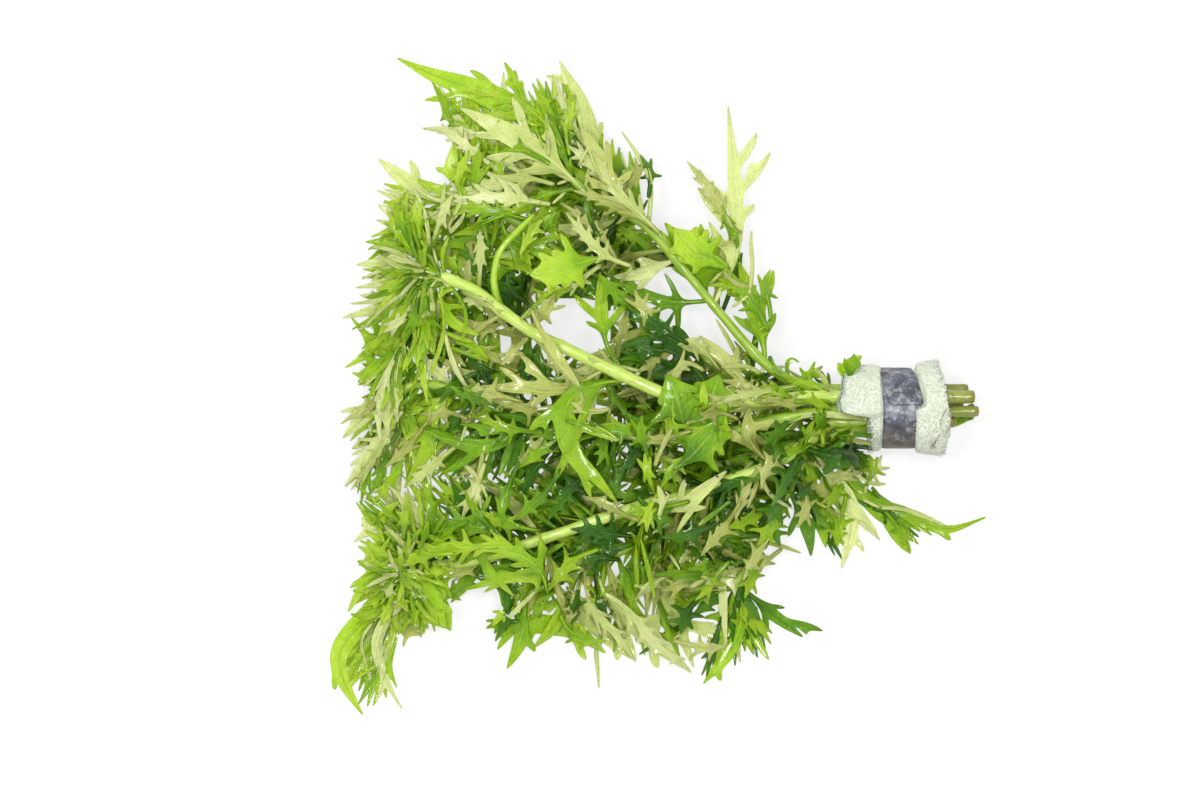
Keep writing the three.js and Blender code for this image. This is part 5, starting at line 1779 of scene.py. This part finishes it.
# %% Foam mesh
def foam_piece():
    outer, face, inner, around = 150, 14, 8, 300
    loop = outer + 2 * face + inner
    part = new_piece()
    bmesh.ops.create_grid(part, x_segments=loop, y_segments=around, size=1)
    pore = part.verts.layers.float["along"]
    edge = part.verts.layers.float["tone"]
    for vertex in part.verts:
        step = round((vertex.co.x + 1) / 2 * loop) % loop
        lap = round((vertex.co.y + 1) / 2 * around) % around
        turn = 2 * math.pi * lap / around
        if turn > math.pi:
            turn -= 2 * math.pi
        left, right = foam_ends(turn)
        x_left, x_right = spot(left, 0).x, spot(right, 0).x
        if step < outer:
            share = step / outer
            deep = 0.0
        elif step < outer + face:
            share, deep = 1.0, (step - outer) / face
        elif step < outer + face + inner:
            share, deep = 1 - (step - outer - face) / inner, 1.0
        else:
            share, deep = 0.0, 1 - (step - outer - face - inner) / face
        # the section keeps its place on the strip while the notch moves the end alone
        x = x_left + (x_right - x_left) * share
        on_section = (x - spot(FOAM_LEFT, 0).x) / (spot(FOAM_RIGHT, 0).x - spot(FOAM_LEFT, 0).x)
        # beside the lap of the strip, which stands askew, the swelling begins further right
        degrees = math.degrees(turn)
        if on_section > 0.5:
            on_section -= 0.075 * smooth((degrees + 72) / 60) * (1 - smooth((degrees + 4) / 8))
        top = foam_radius(min(1, max(0, on_section)))
        if step < outer and share < 0.05:
            top -= (1 - share / 0.05) ** 2 * 1.6 * MM
        radius = top + (FOAM_BORE - top) * deep
        y, z = crown(turn, radius)
        outward = Vector((0, -math.sin(turn), math.cos(turn)))
        if 0 < deep < 1:
            outward = Vector((1 if share > 0.5 else -1, 0, 0))
        here = Vector((x, y, z))
        gap, _ = noise.voronoi(here / CELL, distance_metric="DISTANCE", exponent=2.5)
        strut = smooth(1 - (gap[1] - gap[0]) / STRUT)
        lump = noise.noise(here * 140) * 0.8 + noise.noise(here * 420) * 0.3
        push = (lump * 0.55 - 0.5 * (1 - strut)) * MM if deep < 1 else 0
        vertex.co = here + outward * push
        vertex.co.z = max(ON_TABLE, vertex.co.z)
        vertex[pore] = strut
        column = pixel(here)[0]
        # how much deeper painted shade the pores get: near both cut ends, and on the open lower left
        rim = max(1 - (column - left) / 7, 1 - (right - column) / 3)
        low_left = smooth((degrees - 28) / 30) if column < 880 else 0
        vertex[edge] = smooth(max(rim, low_left))
    bmesh.ops.remove_doubles(part, verts=part.verts, dist=1e-7)
    bmesh.ops.recalc_face_normals(part, faces=part.faces)
    return part


def foam_strands(piece, count):
    """Loose struts that stand out of the two cut edges and the shoulders"""
    for _ in range(count):
        turn = chance.uniform(-2.2, 2.2)
        left, right = foam_ends(turn)
        at_left = chance.random() < 0.6
        inside_by = chance.uniform(-0.3, 4) ** 2 / 4
        column = left + inside_by * 1.6 if at_left else right - inside_by * 1.4
        radius = foam_radius(foam_share(column)) - (1.2 * MM if inside_by < 0.6 else 0.3 * MM)
        y, z = crown(turn, radius)
        root = Vector((spot(column, 0).x, y, z))
        outward = Vector(((-0.9 if at_left else 0.9) * chance.random(), -math.sin(turn), math.cos(turn)))
        lean = Vector([chance.uniform(-0.7, 0.7) for _ in range(3)])
        tip = root + (outward + lean).normalized() * chance.uniform(0.5, 1.3) * MM
        if tip.z < 0.3 * MM:
            continue
        bow = (root + tip) / 2 + lean * 0.25 * MM
        rod(piece, Path([root, bow, tip], 2), lambda share, turn: 0.085 * MM, 3, 0.5 * MM, 0.0, 1.0)


piece = new_piece()
join(piece, foam_piece())
foam_strands(piece, STRANDS)
print("foam corners:", len(piece.verts))

# %% [markdown]
# The material reads both facts: painted shade makes pores darker than struts, and darker still near a cut
# edge and on the open lower left. Brownish stains and a little grime break the white, and some light goes
# into the foam.


# %% Foam material
def foam_material():
    material, tree, skin = new_material("foam")
    place = object_place(tree)
    fine = noise_of(tree, place, 2600.0, 2.0)
    cloud = noise_of(tree, place, 120.0, 3.0)
    # painted shade: the pores are coloured darker than the struts, as if shaded in their depth
    pore_painted_shade = maths(tree, "MULTIPLY_ADD", fine, 0.5, -0.25)
    pore_painted_shade = maths(tree, "ADD", attribute(tree, "along"), pore_painted_shade, clamp=True)
    colour = ramp(tree, pore_painted_shade, (0.05, paint(170, 178, 156)), (0.4, paint(186, 193, 174)),
                  (0.9, paint(200, 205, 191)))
    # painted shade: near a cut edge and on the open lower left the pores are coloured much darker still
    cut_edge_painted_shade = ramp(tree, pore_painted_shade, (0.1, paint(92, 100, 84)), (0.5, paint(150, 158, 140)),
                  (0.9, paint(196, 202, 190)))
    colour = blend(tree, attribute(tree, "tone"), colour, cut_edge_painted_shade)
    colour = blend(tree, times(tree, cloud, 0.3), colour, paint(188, 196, 172))
    stain = mask(tree, noise_of(tree, place, 260.0, 4.0, 0.7), 0.6, 0.72)
    colour = blend(tree, times(tree, stain, 0.35), colour, paint(164, 158, 122))
    grime = mask(tree, noise_of(tree, place, 900.0, 2.0), 0.7, 0.78)
    colour = blend(tree, times(tree, grime, 0.5), colour, paint(118, 112, 88))
    dress(tree, skin, Base_Color=colour, Normal=bump_of(tree, fine, 0.5, 0.0003), Roughness=0.75,
          Subsurface_Weight=0.25, Subsurface_Radius=(0.0016, 0.0016, 0.0014))
    return material


foam = finish_piece(piece, "foam_sleeve", [foam_material()], 0)
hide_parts("foam_wrap")
print("foam triangles:", triangles(foam))

# %% [markdown]
# The strip is soft lead, about 11 mm wide and 1 mm thick, bent once round the foam by hand. Its end lies
# over its own start, askew, with rounded corners. It is a flat grid rolled along a spiral, thickened into a
# plate, and bevelled. Hand-bent lead isn't smooth: shallow dents and a faint pressed panel on the lap are
# moved into the mesh. White oxide, scratches and a brown tinge low on the side are left to the material.

# %% Lead strip
# column of the left edge, then mm
STRIP_LEFT, STRIP_WIDTH = 881, 10.6
INNER, LEAD, AIR = 12.5, 0.95, 0.15
CORNER, EDGE_ROUND, SHARP = 1.4, 0.16, math.radians(60)
# turns in degrees from the crown: both ends, where the lap begins, and where it begins to lean
START, END, LAP_FROM, LEAN_FROM = -58, 355, 288, 225


def strip_piece():
    across, along = 26, 250
    part = new_piece()
    bmesh.ops.create_grid(part, x_segments=across, y_segments=along, size=1)
    marks = {}
    for vertex in part.verts:
        side = vertex.co.x
        share = (vertex.co.y + 1) / 2
        degrees = START + (END - START) * share
        lap = smooth((degrees - LAP_FROM) / 26)
        radius = INNER + lap * (LEAD + AIR)
        lean = (2.4 + 3.7 * math.sin(math.radians(degrees))) * smooth((degrees - LEAN_FROM) / 40)
        spread = 1 + 0.05 * lap
        # the lap's corners are rounded by drawing its last rows in
        to_end = (END - degrees) * math.radians(1) * radius
        narrow = 0.0
        if to_end < CORNER:
            narrow = CORNER - math.sqrt(max(0.0, CORNER ** 2 - (CORNER - to_end) ** 2))
        half = STRIP_WIDTH / 2 * spread - narrow
        x = spot(STRIP_LEFT, 0).x + (STRIP_WIDTH / 2 + side * half + lean) * MM
        y, z = crown(math.radians(degrees), radius * MM)
        here = Vector((x, y, z))
        outward = Vector((0, y - AXIS_Y, z - AXIS_Z)).normalized()
        dent = noise.noise(here * 210 + Vector((3, 1, 4))) * 0.16 + noise.noise(here * 640) * 0.05
        rim = -0.22 * smooth((abs(side) - 0.86) / 0.14)
        panel_x, panel_y = abs(side - 0.05) / 0.56, abs(degrees - 322) / 17
        panel = max(panel_x, panel_y)
        pressed = -0.12 * smooth(1 - abs(panel - 1) / 0.14) if lap > 0.9 else 0.0
        vertex.co = here + outward * (dent + rim + pressed) * MM
        marks[vertex] = (share * 88, side)
    mark_faces(part, part.faces, marks)
    bmesh.ops.recalc_face_normals(part, faces=part.faces)
    first = part.faces[0]
    centre = first.calc_center_median()
    if first.normal.dot(Vector((0, centre.y - AXIS_Y, centre.z - AXIS_Z))) < 0:
        bmesh.ops.reverse_faces(part, faces=part.faces)
    bmesh.ops.solidify(part, geom=part.faces[:], thickness=-LEAD * MM)
    bmesh.ops.recalc_face_normals(part, faces=part.faces)
    rims = [e for e in part.edges if len(e.link_faces) == 2 and e.calc_face_angle(0) > SHARP]
    bmesh.ops.bevel(part, geom=rims, offset=EDGE_ROUND * MM, affect="EDGES", segments=2, profile=0.5,
                    material=-1)
    return part


piece = new_piece()
join(piece, strip_piece())
print("strip corners:", len(piece.verts))

# %% [markdown]
# Lead that has lain in water is a dark metal with a dull skin. Its white oxide isn't metallic, so where the
# oxide lies the material is lighter, rougher and less of a metal. Scratches follow the strip through its UV.


# %% Lead material
def lead_material():
    material, tree, skin = new_material("lead")
    place = object_place(tree)
    grain = noise_of(tree, place, 900.0, 4.0, 0.7)
    cloud = noise_of(tree, place, 150.0, 4.0, 0.6)
    colour = ramp(tree, cloud, (0.32, paint(54, 57, 64)), (0.5, paint(84, 88, 97)),
                  (0.7, paint(138, 142, 150)))
    scratches = mask(tree, noise_of(tree, drawn_out(tree, 1.4, 0.35), 2.3, 5.0, 0.8), 0.6, 0.68)
    colour = blend(tree, times(tree, scratches, 0.45), colour, paint(176, 178, 184))
    oxide = times(tree, mask(tree, noise_of(tree, place, 330.0, 5.0, 0.75), 0.5, 0.62), grain)
    colour = blend(tree, times(tree, oxide, 0.9), colour, paint(196, 198, 200))
    across = add(tree, "ShaderNodeSeparateXYZ", Vector=place).outputs[1]
    low = maths(tree, "SUBTRACT", AXIS_Y - 4 * MM, across)
    low = maths(tree, "DIVIDE", low, 9 * MM, clamp=True)
    brown = maths(tree, "MULTIPLY", times(tree, low, cloud), 1.3, clamp=True)
    colour = blend(tree, brown, colour, paint(96, 80, 64))
    rough = maths(tree, "MULTIPLY_ADD", oxide, 0.3, maths(tree, "MULTIPLY_ADD", grain, 0.2, 0.34))
    relief = maths(tree, "ADD", grain, times(tree, scratches, 0.5))
    dress(tree, skin, Base_Color=colour, Roughness=rough, Normal=bump_of(tree, relief, 0.4, 0.0003),
          Metallic=maths(tree, "MULTIPLY_ADD", oxide, -0.5, 0.75))
    return material


strip = finish_piece(piece, "bent_strip", [lead_material()], 0)
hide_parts("lead_strip")
print("strip triangles:", triangles(strip))

# %% [markdown]
# A few small things cling to the wrap: brown root hairs that wander over its right end, crumpled scraps of
# leaf at its upper left, two more under the cut ends, and two flat leaf stalks that are caught in it. Two
# round stalks are laid here too: a stout one that comes out of the wrap at the lower left, and the long
# bowed stalk of a leaf that leaves the middle stem upwards.

# %% Things caught in the wrap
HAIRS = (
    ((943, 388), (946, 402), (949, 416), (945, 428), (940, 437)),
    ((945, 399), (941, 412), (937, 420), (936, 430)),
    ((927, 441), (931, 446), (934, 449)),
    ((933, 440), (929, 444), (927, 449)),
    ((936, 434), (932, 442), (929, 450)),
    ((947, 392), (951, 400), (950, 408)),
)
HAIR_LIFT = 0.25 * MM
# tint, width, midrib, heights in mm, lobes
SCRAPS = (
    ("bright", 15, ((842, 378), (846, 368), (854, 360), (860, 356)), (21, 22, 21, 20), ((838, 366, 8),)),
    ("bright", 12, ((848, 376), (841, 371), (836, 363)), (20, 20, 18), ((846, 360, 7),)),
    ("green", 10, ((847, 378), (850, 366), (852, 354)), (22, 24, 23), ((858, 362, 5), (842, 358, 5))),
    ("green", 14, ((972, 404), (966, 412), (958, 420), (951, 427)), (12, 11, 9, 7), ((968, 420, 7),)),
    ("green", 12, ((976, 410), (968, 416), (960, 416), (950, 414)), (11, 10, 10, 9)),
    ("pale", 7, ((870, 419), (842, 416), (808, 414), (792, 420), (784, 424)), (22, 23, 23, 22, 20)),
    ("olive", 6, ((826, 392), (824, 382), (818, 374), (812, 368)), (22, 23, 22, 20)),
)
# places, radius in mm and how much of it is lost towards the end, sides, length of a ring
CAUGHT_STALKS = (
    (((806, 448, 9), (834, 434, 13), (876, 427, 15)), 2.2, 0, 10, 2.5 * MM),
    (((503, 311, 22), (497, 296, 26), (495, 278, 27), (501, 253, 27), (517, 234, 26), (535, 216, 23)),
     1.5, 0.6, 8, 2 * MM),
)


def on_foam(column, row):
    """A place just over the foam's skin above a pixel"""
    place = spot(column, row)
    radius = foam_radius(foam_share(column))
    sideways = min(abs(place.y - AXIS_Y), radius * 0.98)
    place.z = AXIS_Z + math.sqrt(radius ** 2 - sideways ** 2) + HAIR_LIFT
    return place


def hair_material():
    material, tree, skin = new_material("root hair")
    fibre = noise_of(tree, object_place(tree), 1200.0, 3.0)
    colour = ramp(tree, fibre, (0.3, paint(70, 40, 24)), (0.7, paint(128, 82, 48)))
    dress(tree, skin, Base_Color=colour, Roughness=0.6)
    return material


piece = new_piece()
for hair in HAIRS:
    line = Path([on_foam(*place) for place in hair], 4)
    rod(piece, line, lambda share, turn: 0.17 * MM * (1 - 0.5 * share), 4, 1.2 * MM)
finish_piece(piece, "root_hairs", [hair_material()], 1)


def scrap(piece, tint, width, spine, heights, lobes=()):
    """A crumpled bit of leaf along pixels, at its own heights in mm"""
    places = [spot(column, row) for column, row in spine]
    path = Path(places)

    def lay(place):
        share = nearest_share(path, place)
        step = share * (len(heights) - 1)
        low = min(int(step), len(heights) - 2)
        return (heights[low] + (heights[low + 1] - heights[low]) * (step - low)) * MM
    tips = [(spot(column, row), size * PIXEL) for column, row, size in lobes]
    grow_leaf(piece, places, width * PIXEL, tips, lay, tint_order.index(tint), UNDER,
              chance.uniform(-0.5, 0.8), None, ripple=2.2, stalk=0.5, petiole=0.05)


piece = new_piece()
for row in SCRAPS:
    scrap(piece, *row)
bright = tint_order.index("bright")
for places, thick, thinner, sides, spacing in CAUGHT_STALKS:
    line = Path([spot(*place) for place in places])
    rod(piece, line, lambda share, turn: (thick - thinner * share) * MM, sides, spacing, 0.3, 0.4, bright)
finish_piece(piece, "caught_scraps", leaf_slots, 1)
print("root hairs and scraps are on the wrap")

# %% [markdown]
# The stage: a white table that glows faintly, as a light table does, a white room that is darker overhead
# where the camera is, and four lamps. The glowing table keeps the shadows faint and shines through the rim
# leaves. A bright ceiling would be mirrored by every leaf that faces up and grey its green, so most light
# comes from the sides, and a softbox gives it a direction. Three small lamps nearly overhead give the wet
# leaves their bright glints.

# %% Floor, light and camera
TABLE_GLOW, TABLE_REACH = 0.68, 3


def floor():
    piece = bmesh.new()
    bmesh.ops.create_grid(piece, x_segments=1, y_segments=1, size=TABLE_REACH)
    mesh = bpy.data.meshes.new("table")
    piece.to_mesh(mesh)
    piece.free()
    made = bpy.data.objects.new("table", mesh)
    bpy.context.scene.collection.objects.link(made)
    material, tree, skin = new_material("table")
    cloud = noise_of(tree, object_place(tree), 6.0, 2.0)
    dress(tree, skin, Base_Color=ramp(tree, cloud, (0.3, 0.19), (0.7, 0.21)), Roughness=0.6,
          Emission_Color=(1, 1, 1, 1), Emission_Strength=TABLE_GLOW)
    mesh.materials.append(material)


def lamp(name, place, size, watts):
    """A square lamp that faces the bunch"""
    data = bpy.data.lights.new(name, "AREA")
    data.size = size
    data.energy = watts
    made = bpy.data.objects.new(name, data)
    made.location = place
    made.rotation_euler = (-Vector(place)).to_track_quat("-Z", "Y").to_euler()
    bpy.context.scene.collection.objects.link(made)


floor()
world = bpy.data.worlds.new("white room")
world.use_nodes = True
sky = world.node_tree
looked = add(sky, "ShaderNodeSeparateXYZ", Vector=add(sky, "ShaderNodeTexCoord").outputs["Generated"])
glow = ramp(sky, looked.outputs[2], (0.0, 0.9), (0.62, 1.0), (0.9, 0.28))
dress(sky, sky.nodes["Background"], Color=glow, Strength=1.0)
bpy.context.scene.world = world
lamp("softbox", (-0.6, 0.8, 1.1), 0.5, 7)
lamp("spot right", (0.28, 0.22, 1.5), 0.22, 7)
lamp("spot left", (-0.36, 0.1, 1.4), 0.22, 6)
lamp("spot low", (0.06, -0.34, 1.5), 0.22, 6)
bpy.context.scene.view_settings.view_transform = "Standard"

EYE_HEIGHT, SENSOR, VIEW_WIDTH = 2.5, 36, 0.4
lens = bpy.data.cameras.new("overhead")
lens.sensor_width = SENSOR
lens.lens = SENSOR * EYE_HEIGHT / VIEW_WIDTH
camera = bpy.data.objects.new("overhead", lens)
camera.location = spot(600, 400) + Vector((0, 0, EYE_HEIGHT))
bpy.context.scene.collection.objects.link(camera)
bpy.context.scene.camera = camera
print("camera above:", [round(v, 4) for v in camera.location])
